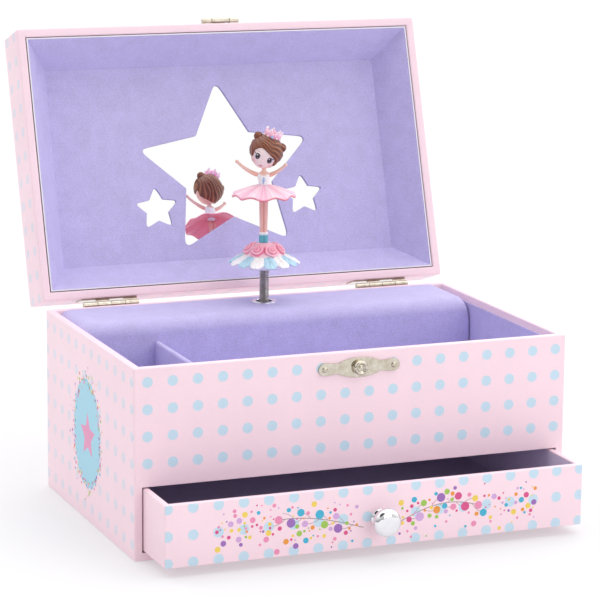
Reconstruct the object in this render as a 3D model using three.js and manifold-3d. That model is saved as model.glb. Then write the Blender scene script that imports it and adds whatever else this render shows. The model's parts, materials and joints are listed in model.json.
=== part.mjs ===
// Musical jewellery box with a drawer, a hinged lid that holds a mirror, and a
// ballerina on a spring, turned by a wind-up movement under a flocked cover.
// Millimetres, +X to the right, +Y to the back, +Z up.
// The origin is the centre of the case's underside.
import * as THREE from "three";
import Module from "manifold-3d";
import { mergeVertices } from "three/addons/utils/BufferGeometryUtils.js";

const wasm = await Module();
wasm.setup();

// ---------------------------------------------------------------- dimensions
const caseWidth = 240;
const caseDepth = 152;
const caseHeight = 99.5;
const wall = 4.2;
const baseThickness = 4.2;
const lining = 1.2;
const liningDrop = 4;

const drawerHeight = 32.5;
const drawerClearance = 0.8;
const drawerFloorGap = 0.8;
const drawerRearGap = 1.8;
const drawerFrontThickness = 4;
const drawerSideThickness = 3.2;
const drawerBottomThickness = 2.5;
const drawerLining = 0.8;
const drawerPull = 32.5;
const knobHeightShare = 0.46;
const shelfThickness = 3;

const lidDepth = 28;
const lidGap = 0.4;
const lidOpenAngle = 107.9;
const lidPanelThickness = 3;
const lidWall = 4.7;
const lidFrameInset = 13.2;
const starPanelThickness = 1.2;
const mirrorThickness = 1.2;
// The stars' places and sizes are shares of the star panel's half height.
const starWaist = 0.508;
const starStretch = 1.04;
const stars = [
  { x: 0.0515, y: 0.103, radius: 0.936, round: 0.114, turn: 91.9 },
  { x: -0.741, y: 0.456, radius: 0.236, round: 0.06, turn: 91.5 },
  { x: 0.8455, y: 0.396, radius: 0.233, round: 0.06, turn: 91 },
];
const starPanelShape = 1.78;
const mirrorMargin = 1;
const mirrorSpare = 1.1;
const seam = 0.3;

const coverDepth = 41.6;
const coverThickness = 3;
const coverEdgeRadius = 8;
const coverEndGap = 0.8;
const dividerThickness = 3;
const dividerShare = 0.615;
const dividerDrop = 11.5;

const spindleX = 0.3;
const spindleFromRear = 19;
const spindleRadius = 1.5;
const bushRadius = 7.2;
const bushBore = 4.5;
const bushTube = 5.6;
const bushFlange = 0.9;
const runningGap = 0.3;
const boreGap = 0.05;
const shaftGap = 0.1;
const partingGap = 0.1;

const hingeLength = 32;
const hingeEndGap = 22.5;
const hingeOffset = 3.8;
const hingeBarrelRadius = 1.7;
const hingePinRadius = 0.7;
const hingeLeaf = 0.8;
const hingeLeafHeight = 12;
const hingeCrank = 1.2;
const knuckles = 4;

const latchX = 1.2;
const latchWidth = 45;
const latchHeight = 10.4;
const latchDrop = 8.3;
const latchPlateThickness = 1;
const latchBossRadius = 4;
const latchBossHeight = 3.2;
const latchBossWell = 1.4;
const nailRadius = 1.5;
const haspWidth = 22;
const haspPinRadius = 0.6;
const haspBarrelRadius = 1.4;
const haspThickness = 0.8;
const haspPlateHeight = 12;
const haspEyeGap = 0.6;
const haspEyeWidth = 2;

const knobRadius = 7.4;
const knobProud = 12.5;
const screwRadius = 1.6;
const screwHeadRadius = 3.4;
const screwHeadHeight = 1.9;
const screwReach = 8;

const foldDepth = 10.7;
const springRadius = 2.75;
const springWire = 0.9;
const springPitch = 1.6;
const figureTurn = -22;
const rosetteHeight = 18.9;
const rosetteRadius = 19.2;
const rosetteThickness = 15;
const dancerShift = -0.5;
const legRadius = 2.3;
const tutuRadius = 17.2;
const waistHeight = 65.5;
const shoulderHeight = 72.5;
const headHeight = 84.6;
const headRadius = 8.6;
const headShift = 0.7;
const headTilt = 17;
const hairThickness = 0.9;
const hairGap = 0.3;
const bunRadius = 2.8;
const crownHeight = 5.6;
const armRadius = 1.05;
const hands = [
  { x: -16.2, y: -1, z: 79.2 },
  { x: 12.4, y: -1, z: 77.8 },
];

const cylinderTeeth = 30;
const spindleTeeth = 30;
const governorTeeth = 9;
const crownTeeth = 33;
const pinionTeeth = 12;
const combTeeth = 14;
const backlash = 0.36;
const governorAngle = 42;
// The movement's sizes at full size, and the room that it takes below the spring and behind the
// cover's front. A smaller cover takes a smaller movement.
const movementRoom = { height: 46.3, depth: 38.6 };
const fullSize = {
  gearModule: 2 / 3,
  gearThickness: 2,
  crownRadius: 11,
  crownToothHeight: 1.2,
  crownToothWidth: 2.6,
  pinionDepth: 1.3,
  barrelRadius: 12,
  barrelDepth: 16.5,
  barrelSheet: 1,
  mainspringStrip: 0.7,
  drumRadius: 7,
  arborRadius: 1.5,
  bedplateWidth: 56,
  bedplateHeight: 44,
  bedplateThickness: 2.4,
  bedplateBelowBarrel: 16,
  gearAboveBarrel: 3.4,
  governorHeight: 12,
  combLength: 24,
  combRoot: 12,
  combThickness: 1,
};
const drumAboveFold = 3;
const gearBelowFold = 12.4;
const keyWing = 12;
const keyStem = 3;
const keyReach = 14;
const keyHoleGap = 1.2;
const pivotRadius = 0.9;

// ------------------------------------------------------------ derived places
const halfWidth = caseWidth / 2;
const halfDepth = caseDepth / 2;
const drawerFloorZ = baseThickness + drawerFloorGap;
const drawerTopZ = drawerFloorZ + drawerHeight;
const drawerDepth = caseDepth - wall - drawerRearGap;
const shelfZ = drawerTopZ + drawerClearance;
const trayZ = shelfZ + shelfThickness;
const compartmentZ = trayZ + lining;
const innerX = halfWidth - wall;
const innerY = halfDepth - wall;
const coverTopZ = caseHeight;
const coverFrontY = innerY - coverDepth;
const spindleY = halfDepth - spindleFromRear;
const foldZ = coverTopZ - foldDepth;
const rosetteZ = coverTopZ + rosetteHeight;
const lidRimZ = caseHeight + lidGap;
const lidTopZ = caseHeight + lidDepth;
const lidRecess = lidDepth - lidGap - lidPanelThickness - mirrorThickness - seam - mirrorSpare;
const dividerX = -innerX * dividerShare;
const hingeX = halfWidth - hingeEndGap - hingeLength / 2;
const pinY = halfDepth + hingeOffset;
const pinZ = caseHeight;
const latchZ = caseHeight - latchDrop;

// ------------------------------------------------------------------ helpers
const degrees = THREE.MathUtils.degToRad;

function solid(geometry) {
  const plain = geometry.clone();
  plain.deleteAttribute("normal");
  plain.deleteAttribute("uv");
  const merged = mergeVertices(plain, 1e-4);
  return new wasm.Manifold(new wasm.Mesh({
    numProp: 3,
    vertProperties: new Float32Array(merged.attributes.position.array),
    triVerts: new Uint32Array(merged.index.array),
  }));
}

function surface(manifold) {
  const mesh = manifold.getMesh();
  const geometry = new THREE.BufferGeometry();
  geometry.setAttribute("position", new THREE.BufferAttribute(mesh.vertProperties, 3));
  geometry.setIndex(new THREE.BufferAttribute(mesh.triVerts, 1));
  geometry.computeVertexNormals();
  return geometry;
}

function join(...geometries) {
  return surface(geometries.map(solid).reduce((whole, next) => whole.add(next)));
}

function cut(geometry, ...tools) {
  return surface(tools.map(solid).reduce((rest, tool) => rest.subtract(tool), solid(geometry)));
}

function box(x0, x1, y0, y1, z0, z1) {
  const geometry = new THREE.BoxGeometry(x1 - x0, y1 - y0, z1 - z0);
  return geometry.translate((x0 + x1) / 2, (y0 + y1) / 2, (z0 + z1) / 2);
}

function rod(radius, from, to, segments = 16) {
  const start = new THREE.Vector3(...from);
  const end = new THREE.Vector3(...to);
  const span = end.clone().sub(start);
  const geometry = new THREE.CylinderGeometry(radius, radius, span.length(), segments);
  const turn = new THREE.Quaternion().setFromUnitVectors(
    new THREE.Vector3(0, 1, 0), span.clone().normalize());
  geometry.applyQuaternion(turn);
  const middle = start.add(end).multiplyScalar(0.5);
  return geometry.translate(middle.x, middle.y, middle.z);
}

// A closed profile of [radius, height] points, turned about the Z axis.
function turned(profile, segments = 24) {
  const points = profile.map(([r, z]) => new THREE.Vector2(r, z));
  if (THREE.ShapeUtils.isClockWise(points)) {
    points.reverse();
  }
  const closed = points[0].x === 0 && points[points.length - 1].x === 0;
  if (!closed) {
    points.push(points[0].clone());
  }
  return new THREE.LatheGeometry(points, segments).rotateX(Math.PI / 2);
}

function shapeOf(points) {
  return new THREE.Shape(points.map(([x, y]) => new THREE.Vector2(x, y)));
}

// An outline in the X-Y plane, raised from z0 to z1.
function raised(shape, z0, z1, curveSegments = 6) {
  const options = { depth: z1 - z0, bevelEnabled: false, curveSegments };
  return new THREE.ExtrudeGeometry(shape, options).translate(0, 0, z0);
}

// An outline in the Y-Z plane, carried along X.
function alongX(shape, x0, x1, curveSegments = 6) {
  const options = { depth: x1 - x0, bevelEnabled: false, curveSegments };
  const geometry = new THREE.ExtrudeGeometry(shape, options);
  geometry.applyMatrix4(new THREE.Matrix4().set(
    0, 0, 1, x0,
    1, 0, 0, 0,
    0, 1, 0, 0,
    0, 0, 0, 1));
  return geometry;
}

// An outline in the X-Z plane, carried along -Y from yFront + depth to yFront.
function alongY(shape, yFront, depth, curveSegments = 6) {
  const options = { depth, bevelEnabled: false, curveSegments };
  const geometry = new THREE.ExtrudeGeometry(shape, options).rotateX(Math.PI / 2);
  return geometry.translate(0, yFront + depth, 0);
}

// A solid with six four-cornered faces; corners run round the low face, then the high one.
function block(corners) {
  const faces = [[0, 3, 2, 1], [4, 5, 6, 7], [0, 1, 5, 4], [1, 2, 6, 5], [2, 3, 7, 6], [3, 0, 4, 7]];
  const geometry = new THREE.BufferGeometry();
  const positions = new Float32Array(corners.flat());
  const index = faces.flatMap(([a, b, c, d]) => [a, b, c, a, c, d]);
  geometry.setAttribute("position", new THREE.BufferAttribute(positions, 3));
  geometry.setIndex(index);
  return geometry;
}

function gearShape(teeth, pitchRadius, depth, phase) {
  const pitch = (2 * Math.PI) / teeth;
  const half = (pitch * backlash) / 2;
  const root = pitchRadius - depth * 0.55;
  const tip = pitchRadius + depth * 0.4;
  const points = [];
  for (let tooth = 0; tooth < teeth; tooth += 1) {
    const middle = phase + tooth * pitch;
    const flank = [[root, -1.5], [tip, -0.8], [tip, 0.8], [root, 1.5]];
    flank.forEach(([r, side]) => {
      points.push([r * Math.cos(middle + side * half), r * Math.sin(middle + side * half)]);
    });
  }
  return shapeOf(points);
}

const model = new THREE.Group();
model.name = "ballerina_jewellery_box";

function finish(color, roughness, metalness = 0) {
  return new THREE.MeshStandardMaterial({ color, roughness, metalness });
}

const pinkPaper = finish(0xfbdce6, 0.6);
const lavenderFlock = finish(0xbdb0e4, 0.95);
const violetPaper = finish(0xd9cfe6, 0.8);
const nickel = finish(0xb9b3a3, 0.3, 1);
const chrome = finish(0xdadada, 0.08, 1);
const steel = finish(0x9a958f, 0.35, 1);
const brass = finish(0xc9a45a, 0.35, 1);
const silvered = finish(0xf2f4f6, 0.02, 1);
const skin = finish(0xf2c4b3, 0.45);
const hairBrown = finish(0x7a3f28, 0.5);
const tutuPink = finish(0xf5a8c8, 0.45);
const petalBlue = finish(0xa5d3ea, 0.45);
const crownPink = finish(0xf59cc4, 0.4);
const polymer = finish(0xe9e4da, 0.5);

function place(parent, name, geometry, material) {
  const mesh = new THREE.Mesh(geometry, material);
  mesh.name = name;
  parent.add(mesh);
  return mesh;
}

// --------------------------------------------------------------------- case
const casing = new THREE.Group();
model.add(casing);

// One leaf of a butt hinge: a plate cranked out to its share of the knuckles.
function hingeLeafSolid(x, upper) {
  const direction = upper ? 1 : -1;
  const length = hingeLength / knuckles;
  const plateFar = pinZ + direction * (hingeBarrelRadius + hingeLeafHeight);
  const plateNear = pinZ + direction * (hingeBarrelRadius + hingeCrank);
  const y0 = halfDepth;
  const leafX0 = x - hingeLength / 2;
  const half = hingeLeaf / 2;
  const profile = [
    [y0, plateFar],
    [y0 + hingeLeaf, plateFar],
    [y0 + hingeLeaf, plateNear],
    [pinY + half, pinZ + direction * (hingeBarrelRadius - hingeLeaf * 0.7)],
    [pinY - half, pinZ + direction * (hingeBarrelRadius - hingeLeaf)],
    [y0, plateNear - direction * half],
  ];
  const outline = upper ? profile : profile.slice().reverse();
  let leaf = solid(alongX(shapeOf(outline.slice().reverse()), leafX0, leafX0 + hingeLength));
  const own = (knuckle) => (knuckle % 2 === 1) === upper;
  for (let knuckle = 0; knuckle < knuckles; knuckle += 1) {
    const x0 = leafX0 + knuckle * length;
    if (own(knuckle)) {
      const from = [x0 + partingGap, pinY, pinZ];
      const to = [x0 + length - partingGap, pinY, pinZ];
      leaf = leaf.add(solid(rod(hingeBarrelRadius, from, to)));
    } else {
      const notch = hingeBarrelRadius + runningGap;
      const from = [x0 - partingGap, pinY, pinZ];
      const to = [x0 + length + partingGap, pinY, pinZ];
      leaf = leaf.subtract(solid(rod(notch, from, to)));
      const beyond = hingeBarrelRadius + hingeCrank;
      const reach = box(from[0], to[0], y0 + hingeLeaf + partingGap, pinY + beyond,
        pinZ - beyond, pinZ + beyond);
      leaf = leaf.subtract(solid(reach));
    }
  }
  const boreRadius = hingePinRadius + boreGap;
  const bore = rod(boreRadius, [leafX0 - 1, pinY, pinZ], [leafX0 + hingeLength + 1, pinY, pinZ]);
  return surface(leaf.subtract(solid(bore)));
}

function buildCase() {
  place(casing, "base_board", box(-halfWidth, halfWidth, -halfDepth, halfDepth, 0, baseThickness), pinkPaper);
  place(casing, "left_wall",
    box(-halfWidth, -innerX, -halfDepth, halfDepth, baseThickness, caseHeight), pinkPaper);
  place(casing, "right_wall",
    box(innerX, halfWidth, -halfDepth, halfDepth, baseThickness, caseHeight), pinkPaper);
  const keyHole = rod(movement.arborRadius + keyHoleGap,
    [movementX, innerY - wall, barrelZ], [movementX, halfDepth + wall, barrelZ]);
  place(casing, "back_wall",
    cut(box(-innerX, innerX, innerY, halfDepth, baseThickness, caseHeight), keyHole), pinkPaper);
  place(casing, "front_panel",
    box(-innerX, innerX, -halfDepth, -innerY, shelfZ, caseHeight), pinkPaper);
  place(casing, "drawer_bay_shelf",
    box(-innerX, innerX, -innerY, innerY, shelfZ, trayZ), pinkPaper);
  const liningTop = caseHeight - liningDrop;
  place(casing, "floor_lining",
    box(-innerX, innerX, -innerY, innerY, trayZ, compartmentZ), lavenderFlock);
  place(casing, "left_lining",
    box(-innerX, -innerX + lining, -innerY, innerY, compartmentZ, liningTop), lavenderFlock);
  place(casing, "right_lining",
    box(innerX - lining, innerX, -innerY, innerY, compartmentZ, liningTop), lavenderFlock);
  place(casing, "front_lining",
    box(-innerX + lining, innerX - lining, -innerY, -innerY + lining, compartmentZ, liningTop),
    lavenderFlock);
}

function buildCover() {
  const x1 = innerX - lining - coverEndGap;
  const top = coverTopZ;
  const r = coverEdgeRadius;
  const inner = r - coverThickness;
  const y0 = coverFrontY;
  const y1 = innerY - partingGap;
  const shape = new THREE.Shape();
  shape.moveTo(y0, compartmentZ);
  shape.lineTo(y0 + coverThickness, compartmentZ);
  shape.lineTo(y0 + coverThickness, top - r);
  shape.absarc(y0 + r, top - r, inner, Math.PI, Math.PI / 2, true);
  shape.lineTo(y1, top - coverThickness);
  shape.lineTo(y1, top);
  shape.lineTo(y0 + r, top);
  shape.absarc(y0 + r, top - r, r, Math.PI / 2, Math.PI, false);
  shape.lineTo(y0, compartmentZ);
  const board = alongX(shape, -x1, x1, 8);
  const hole = rod(bushTube + shaftGap,
    [spindleX, spindleY, top - foldDepth], [spindleX, spindleY, top + 1], 24);
  place(casing, "movement_cover", cut(board, hole), lavenderFlock);
  const bushLow = top - coverThickness - bushFlange * 2;
  const seat = top + boreGap;
  const bush = turned([
    [bushBore, bushLow],
    [bushTube, bushLow],
    [bushTube, seat],
    [bushRadius, seat],
    [bushRadius - bushFlange / 3, top + bushFlange],
    [bushBore, top + bushFlange],
  ], 32);
  const bushMesh = place(casing, "spindle_bush", bush, chrome);
  bushMesh.position.set(spindleX, spindleY, 0);
}

function buildDivider() {
  const half = dividerThickness / 2;
  const top = coverTopZ - dividerDrop;
  const y0 = -innerY + lining + seam;
  const shape = new THREE.Shape();
  shape.moveTo(-half, compartmentZ);
  shape.lineTo(half, compartmentZ);
  shape.lineTo(half, top - half);
  shape.absarc(0, top - half, half, 0, Math.PI, false);
  shape.lineTo(-half, compartmentZ);
  const board = alongY(shape, y0, coverFrontY - seam - y0, 6);
  place(casing, "divider", board.translate(dividerX, 0, 0), lavenderFlock);
}

function buildLatch() {
  const half = latchWidth / 2;
  const ear = latchHeight * 0.32;
  const shoulder = half * 0.52;
  const shape = new THREE.Shape();
  shape.moveTo(-half + ear, -ear);
  shape.lineTo(-shoulder, -ear * 0.8);
  shape.quadraticCurveTo(-shoulder * 0.6, -latchHeight / 2, 0, -latchHeight / 2);
  shape.quadraticCurveTo(shoulder * 0.6, -latchHeight / 2, shoulder, -ear * 0.8);
  shape.lineTo(half - ear, -ear);
  shape.absarc(half - ear, 0, ear, -Math.PI / 2, Math.PI / 2, false);
  shape.lineTo(shoulder, ear * 0.8);
  shape.quadraticCurveTo(shoulder * 0.6, latchHeight / 2, 0, latchHeight / 2);
  shape.quadraticCurveTo(-shoulder * 0.6, latchHeight / 2, -shoulder, ear * 0.8);
  shape.lineTo(-half + ear, ear);
  shape.absarc(-half + ear, 0, ear, Math.PI / 2, 1.5 * Math.PI, false);
  const front = -halfDepth - latchPlateThickness;
  const plate = alongY(shape, front, latchPlateThickness - boreGap, 5).translate(latchX, 0, latchZ);
  const nailProfile = [
    [0, -nailRadius * 0.15],
    [nailRadius, -nailRadius * 0.15],
    [nailRadius, nailRadius * 0.2],
    [nailRadius * 0.65, nailRadius * 0.55],
    [0, nailRadius * 0.65],
  ];
  const nails = [-1, 1].map((side) =>
    turned(nailProfile, 12).rotateX(Math.PI / 2).translate(latchX + side * (half - ear), front, latchZ));
  place(casing, "latch_plate", join(plate, ...nails), nickel);
  const well = latchBossWell;
  const boss = turned([
    [0, shaftGap],
    [latchBossRadius, shaftGap],
    [latchBossRadius, latchBossHeight - well * 0.7],
    [latchBossRadius - well / 2, latchBossHeight],
    [latchBossRadius - well, latchBossHeight],
    [well, latchBossHeight - well * 0.6],
    [well * 0.85, latchBossHeight - well],
    [0, latchBossHeight - well],
  ], 24).rotateX(Math.PI / 2);
  const bossMesh = place(casing, "latch_boss", boss, nickel);
  bossMesh.position.set(latchX, front, latchZ);
}

function buildHinges() {
  for (const [side, x] of [["left", -hingeX], ["right", hingeX]]) {
    place(casing, `hinge_lower_leaf_${side}`, hingeLeafSolid(x, false), nickel);
    const pin = rod(hingePinRadius, [x - hingeLength / 2, pinY, pinZ], [x + hingeLength / 2, pinY, pinZ], 12);
    place(casing, `hinge_pin_${side}`, pin, nickel);
  }
}

// ----------------------------------------------------------------- movement
const movementScale = Math.min(
  1,
  (foldZ - compartmentZ) / movementRoom.height,
  (coverDepth - coverThickness) / movementRoom.depth,
);
const movement = Object.fromEntries(
  Object.entries(fullSize).map(([name, size]) => [name, size * movementScale]));
const gearRadius = (teeth) => (movement.gearModule * teeth) / 2;
const shaftSpacing = gearRadius(cylinderTeeth) + gearRadius(spindleTeeth);
const bedplateY = innerY - runningGap - movement.bedplateThickness;
const barrelY = bedplateY - runningGap;
const crownY = barrelY - movement.barrelDepth - runningGap - movement.gearThickness - runningGap;
const pinionRadius = (movement.crownRadius * pinionTeeth) / crownTeeth;
const cylinderY = crownY - runningGap - pinionRadius - movement.pinionDepth * 0.4;
const movementX = spindleX + Math.sqrt(shaftSpacing ** 2 - (spindleY - cylinderY) ** 2);
const drumTopZ = foldZ + drumAboveFold;
const gearZ = foldZ - gearBelowFold * movementScale;
const pinionZ = gearZ - movement.gearAboveBarrel;
const barrelZ = pinionZ - movement.crownRadius;
const gearLowZ = gearZ - movement.gearThickness / 2;
const gearHighZ = gearZ + movement.gearThickness / 2;
const bearingRadius = spindleRadius + shaftGap;

// The direction from one shaft to another, where a tooth or, with "gap", a tooth space points.
function spurPhase(fromX, fromY, toX, toY, teeth, gap) {
  const direction = Math.atan2(toY - fromY, toX - fromX);
  return direction + (gap ? Math.PI / teeth : 0);
}

function spurGear(teeth, phase) {
  const shape = gearShape(teeth, gearRadius(teeth), movement.gearModule * 2, phase);
  return raised(shape, gearLowZ, gearHighZ);
}

function buildMovement() {
  const { arborRadius, barrelRadius, barrelDepth, barrelSheet, bedplateThickness } = movement;
  const plateLow = barrelZ - movement.bedplateBelowBarrel;
  const halfPlate = movement.bedplateWidth / 2;
  const plate = box(movementX - halfPlate, movementX + halfPlate, bedplateY,
    bedplateY + bedplateThickness, plateLow, plateLow + movement.bedplateHeight);
  const arborHole = rod(arborRadius + shaftGap, [movementX, bedplateY - bedplateThickness, barrelZ],
    [movementX, bedplateY + bedplateThickness * 2, barrelZ]);
  place(casing, "movement_bedplate", cut(plate, arborHole), brass);
  const barrel = turned([
    [arborRadius + shaftGap, 0],
    [barrelRadius, 0],
    [barrelRadius, barrelDepth],
    [barrelRadius - barrelSheet, barrelDepth],
    [barrelRadius - barrelSheet, barrelSheet],
    [arborRadius + shaftGap, barrelSheet],
  ], 28).rotateX(Math.PI / 2);
  const barrelMesh = place(casing, "mainspring_barrel", barrel, brass);
  barrelMesh.position.set(movementX, barrelY, barrelZ);
  placeMainspring();
  placeComb();
}

// A flat spiral strip between the arbor and the barrel's wall.
function placeMainspring() {
  const { arborRadius, barrelRadius, barrelDepth, barrelSheet, mainspringStrip } = movement;
  const turns = 5;
  const perTurn = 16;
  const steps = turns * perTurn;
  const first = arborRadius + barrelSheet;
  const last = barrelRadius - barrelSheet * 1.4;
  const spiral = (offset) => Array.from({ length: steps + 1 }, (_, step) => {
    const angle = (2 * Math.PI * step) / perTurn;
    const radius = first + ((last - first) * step) / steps + offset;
    return [radius * Math.cos(angle), radius * Math.sin(angle)];
  });
  const strip = spiral(mainspringStrip / 2).concat(spiral(-mainspringStrip / 2).reverse());
  const margin = barrelSheet * 2;
  const mainspring = alongY(shapeOf(strip), barrelY - barrelDepth + margin, barrelDepth - 2 * margin);
  place(casing, "mainspring", mainspring.translate(movementX, 0, barrelZ), steel);
}

// The comb's teeth point at the pinned cylinder, and the bridge holds the cylinder's upper pivot.
function placeComb() {
  const { combLength, combRoot, combThickness, gearThickness } = movement;
  const tipX = movementX + movement.drumRadius + runningGap * 2;
  const rootX = tipX + combRoot;
  const endX = tipX + combLength;
  const low = gearHighZ + gearThickness * 0.8;
  const high = drumTopZ - gearThickness / 2;
  const pitch = (high - low) / combTeeth;
  const outline = [[endX, low], [endX, high], [rootX, high]];
  for (let tooth = combTeeth - 1; tooth >= 0; tooth -= 1) {
    const z = low + tooth * pitch;
    outline.push([tipX, z + pitch * 0.75], [tipX, z + pitch * 0.25]);
    outline.push([rootX, z + pitch * 0.1], [rootX, z - pitch * 0.1]);
  }
  outline.splice(-2, 2, [rootX, low]);
  place(casing, "comb", alongY(shapeOf(outline), cylinderY - combThickness / 2, combThickness), steel);
  const bridgeZ = drumTopZ + runningGap * 2;
  const bridgeTop = bridgeZ + movement.bedplateThickness / 2;
  const rear = bedplateY - runningGap;
  const bracket = box(rootX + combThickness * 2, endX, cylinderY + combThickness / 2 + runningGap, rear, low,
    bridgeTop - runningGap);
  const plateau = box(spindleX - bushRadius, endX, cylinderY - movement.drumRadius / 2, rear,
    bridgeZ, bridgeTop);
  const through = (radius, x, y) => rod(radius, [x, y, bridgeZ - 1], [x, y, bridgeTop + 1], 20);
  const bridge = cut(join(bracket, plateau), through(bushBore, spindleX, spindleY),
    through(pivotRadius + shaftGap, movementX, cylinderY));
  place(casing, "movement_bridge", bridge, brass);
}

// The pinned cylinder: one train carries its pinion, gear, drum and upper pivot.
function buildCylinder() {
  const { drumRadius, pinionDepth, gearThickness, arborRadius } = movement;
  const phase = spurPhase(movementX, cylinderY, spindleX, spindleY, cylinderTeeth, false);
  const towardsCrown = Math.PI / 2 + Math.PI / pinionTeeth;
  const pinion = raised(gearShape(pinionTeeth, pinionRadius, pinionDepth, towardsCrown),
    pinionZ - movement.crownToothHeight, gearZ);
  const drumLow = gearHighZ + gearThickness / 2;
  const drum = turned([
    [0, gearZ],
    [arborRadius, gearZ],
    [arborRadius, drumLow],
    [drumRadius, drumLow],
    [drumRadius, drumTopZ],
    [pivotRadius, drumTopZ],
    [pivotRadius, drumTopZ + gearThickness],
    [0, drumTopZ + gearThickness],
  ], 28);
  const mesh = place(model, "pinned_cylinder", join(spurGear(cylinderTeeth, phase), pinion, drum), brass);
  mesh.position.set(movementX, cylinderY, 0);
}

function buildSpindle() {
  const { gearThickness } = movement;
  const phase = spurPhase(spindleX, spindleY, movementX, cylinderY, spindleTeeth, true);
  const bearingHigh = gearLowZ - gearThickness;
  const bearingLow = bearingHigh - gearThickness * 2;
  const shaft = rod(spindleRadius, [0, 0, bearingLow], [0, 0, foldZ - spindleRadius], 14);
  const collar = rod(spindleRadius * 2, [0, 0, gearZ], [0, 0, gearHighZ + gearThickness], 14);
  const mesh = place(model, "spindle", join(spurGear(spindleTeeth, phase), shaft, collar), brass);
  mesh.position.set(spindleX, spindleY, 0);
  const bearing = turned([
    [bearingRadius, bearingLow],
    [spindleRadius * 2, bearingLow],
    [spindleRadius * 2, bearingHigh],
    [bearingRadius, bearingHigh],
  ], 20);
  const arm = box(-spindleRadius, spindleRadius, spindleRadius * 1.5, bedplateY - runningGap - spindleY,
    bearingLow, bearingHigh);
  const bore = rod(bearingRadius, [0, 0, bearingLow - 1], [0, 0, bearingHigh + 1], 20);
  const bracket = place(casing, "spindle_bearing", cut(join(bearing, arm), bore), brass);
  bracket.position.set(spindleX, spindleY, 0);
}

const governorDirection = degrees(governorAngle);
const governorSpacing = gearRadius(cylinderTeeth) + gearRadius(governorTeeth);
const governorX = movementX + governorSpacing * Math.cos(governorDirection);
const governorY = cylinderY + governorSpacing * Math.sin(governorDirection);

// An air brake: a small pinion, a shaft and two blades.
function buildGovernor() {
  const wheel = spurPhase(movementX, cylinderY, spindleX, spindleY, cylinderTeeth, false);
  const pitch = (2 * Math.PI) / cylinderTeeth;
  const offset = (governorDirection - wheel) / pitch;
  const ahead = (offset - Math.floor(offset)) * pitch;
  const contact = governorDirection + Math.PI;
  const phase = contact + Math.PI / governorTeeth + (ahead * cylinderTeeth) / governorTeeth;
  const { governorHeight, gearThickness } = movement;
  const top = gearZ + governorHeight;
  const shaft = rod(pivotRadius, [0, 0, gearZ], [0, 0, top], 12);
  const reach = gearRadius(governorTeeth) + gearThickness * 0.2;
  const blade = gearThickness / 4;
  const blades = box(-reach, reach, -blade, blade, top - governorHeight * 0.66, top - gearThickness / 2);
  const mesh = place(model, "governor_fan", join(spurGear(governorTeeth, phase), shaft, blades), polymer);
  mesh.position.set(governorX, governorY, 0);
}

// Crown wheel, arbor and winding key turn together about a line along Y.
function buildWinding() {
  const { arborRadius, crownRadius, crownToothWidth, crownToothHeight, gearThickness } = movement;
  const pitch = (2 * Math.PI) / crownTeeth;
  const half = (pitch * backlash) / 2;
  const inner = crownRadius - crownToothWidth / 2;
  const outer = crownRadius + crownToothWidth / 2;
  const tooth = (angle) => {
    const corner = (r, a) => [r * Math.cos(a), r * Math.sin(a)];
    const wedge = shapeOf([
      corner(inner, angle - half), corner(outer, angle - half),
      corner(outer, angle + half), corner(inner, angle + half)]);
    return raised(wedge, 0, crownToothHeight);
  };
  const wheel = turned([
    [0, -gearThickness],
    [outer + runningGap, -gearThickness],
    [outer + runningGap, shaftGap],
    [0, shaftGap],
  ], 32);
  let crown = solid(wheel);
  for (let count = 0; count < crownTeeth; count += 1) {
    crown = crown.add(solid(tooth(Math.PI / 2 + count * pitch)));
  }
  const facing = surface(crown).rotateX(Math.PI / 2).translate(0, crownY, 0);
  const arborEnd = halfDepth + keyReach - keyStem * 1.5;
  const arbor = rod(arborRadius, [0, crownY + gearThickness / 2, 0], [0, arborEnd, 0], 14);
  const mesh = place(model, "crown_wheel_and_arbor", join(facing, arbor), brass);
  mesh.position.set(movementX, 0, barrelZ);
  const stemY = halfDepth + keyStem / 2;
  const stem = rod(keyStem, [0, stemY, 0], [0, halfDepth + keyReach, 0], 16);
  const wingY0 = halfDepth + keyReach - keyStem;
  const wingY1 = wingY0 + keyStem * 0.66;
  const wingHalf = keyStem * 1.33;
  const wings = box(-keyWing, keyWing, wingY0, wingY1, -wingHalf, wingHalf);
  const tips = [-1, 1].map((side) =>
    rod(wingHalf, [side * keyWing, wingY0, 0], [side * keyWing, wingY1, 0], 20));
  const bore = rod(arborRadius + boreGap, [0, stemY - 1, 0], [0, arborEnd + boreGap, 0], 14);
  const key = place(model, "winding_key", cut(join(stem, wings, ...tips), bore), nickel);
  key.position.set(movementX, 0, barrelZ);
}

// ---------------------------------------------------------------------- lid
// The lid is drawn closed, then turned open about the hinge pins.
const lidTurn = new THREE.Group();
lidTurn.position.set(0, pinY, pinZ);
lidTurn.rotation.x = -degrees(lidOpenAngle);
const lid = new THREE.Group();
lid.position.set(0, -pinY, -pinZ);
lidTurn.add(lid);
model.add(lidTurn);

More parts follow.
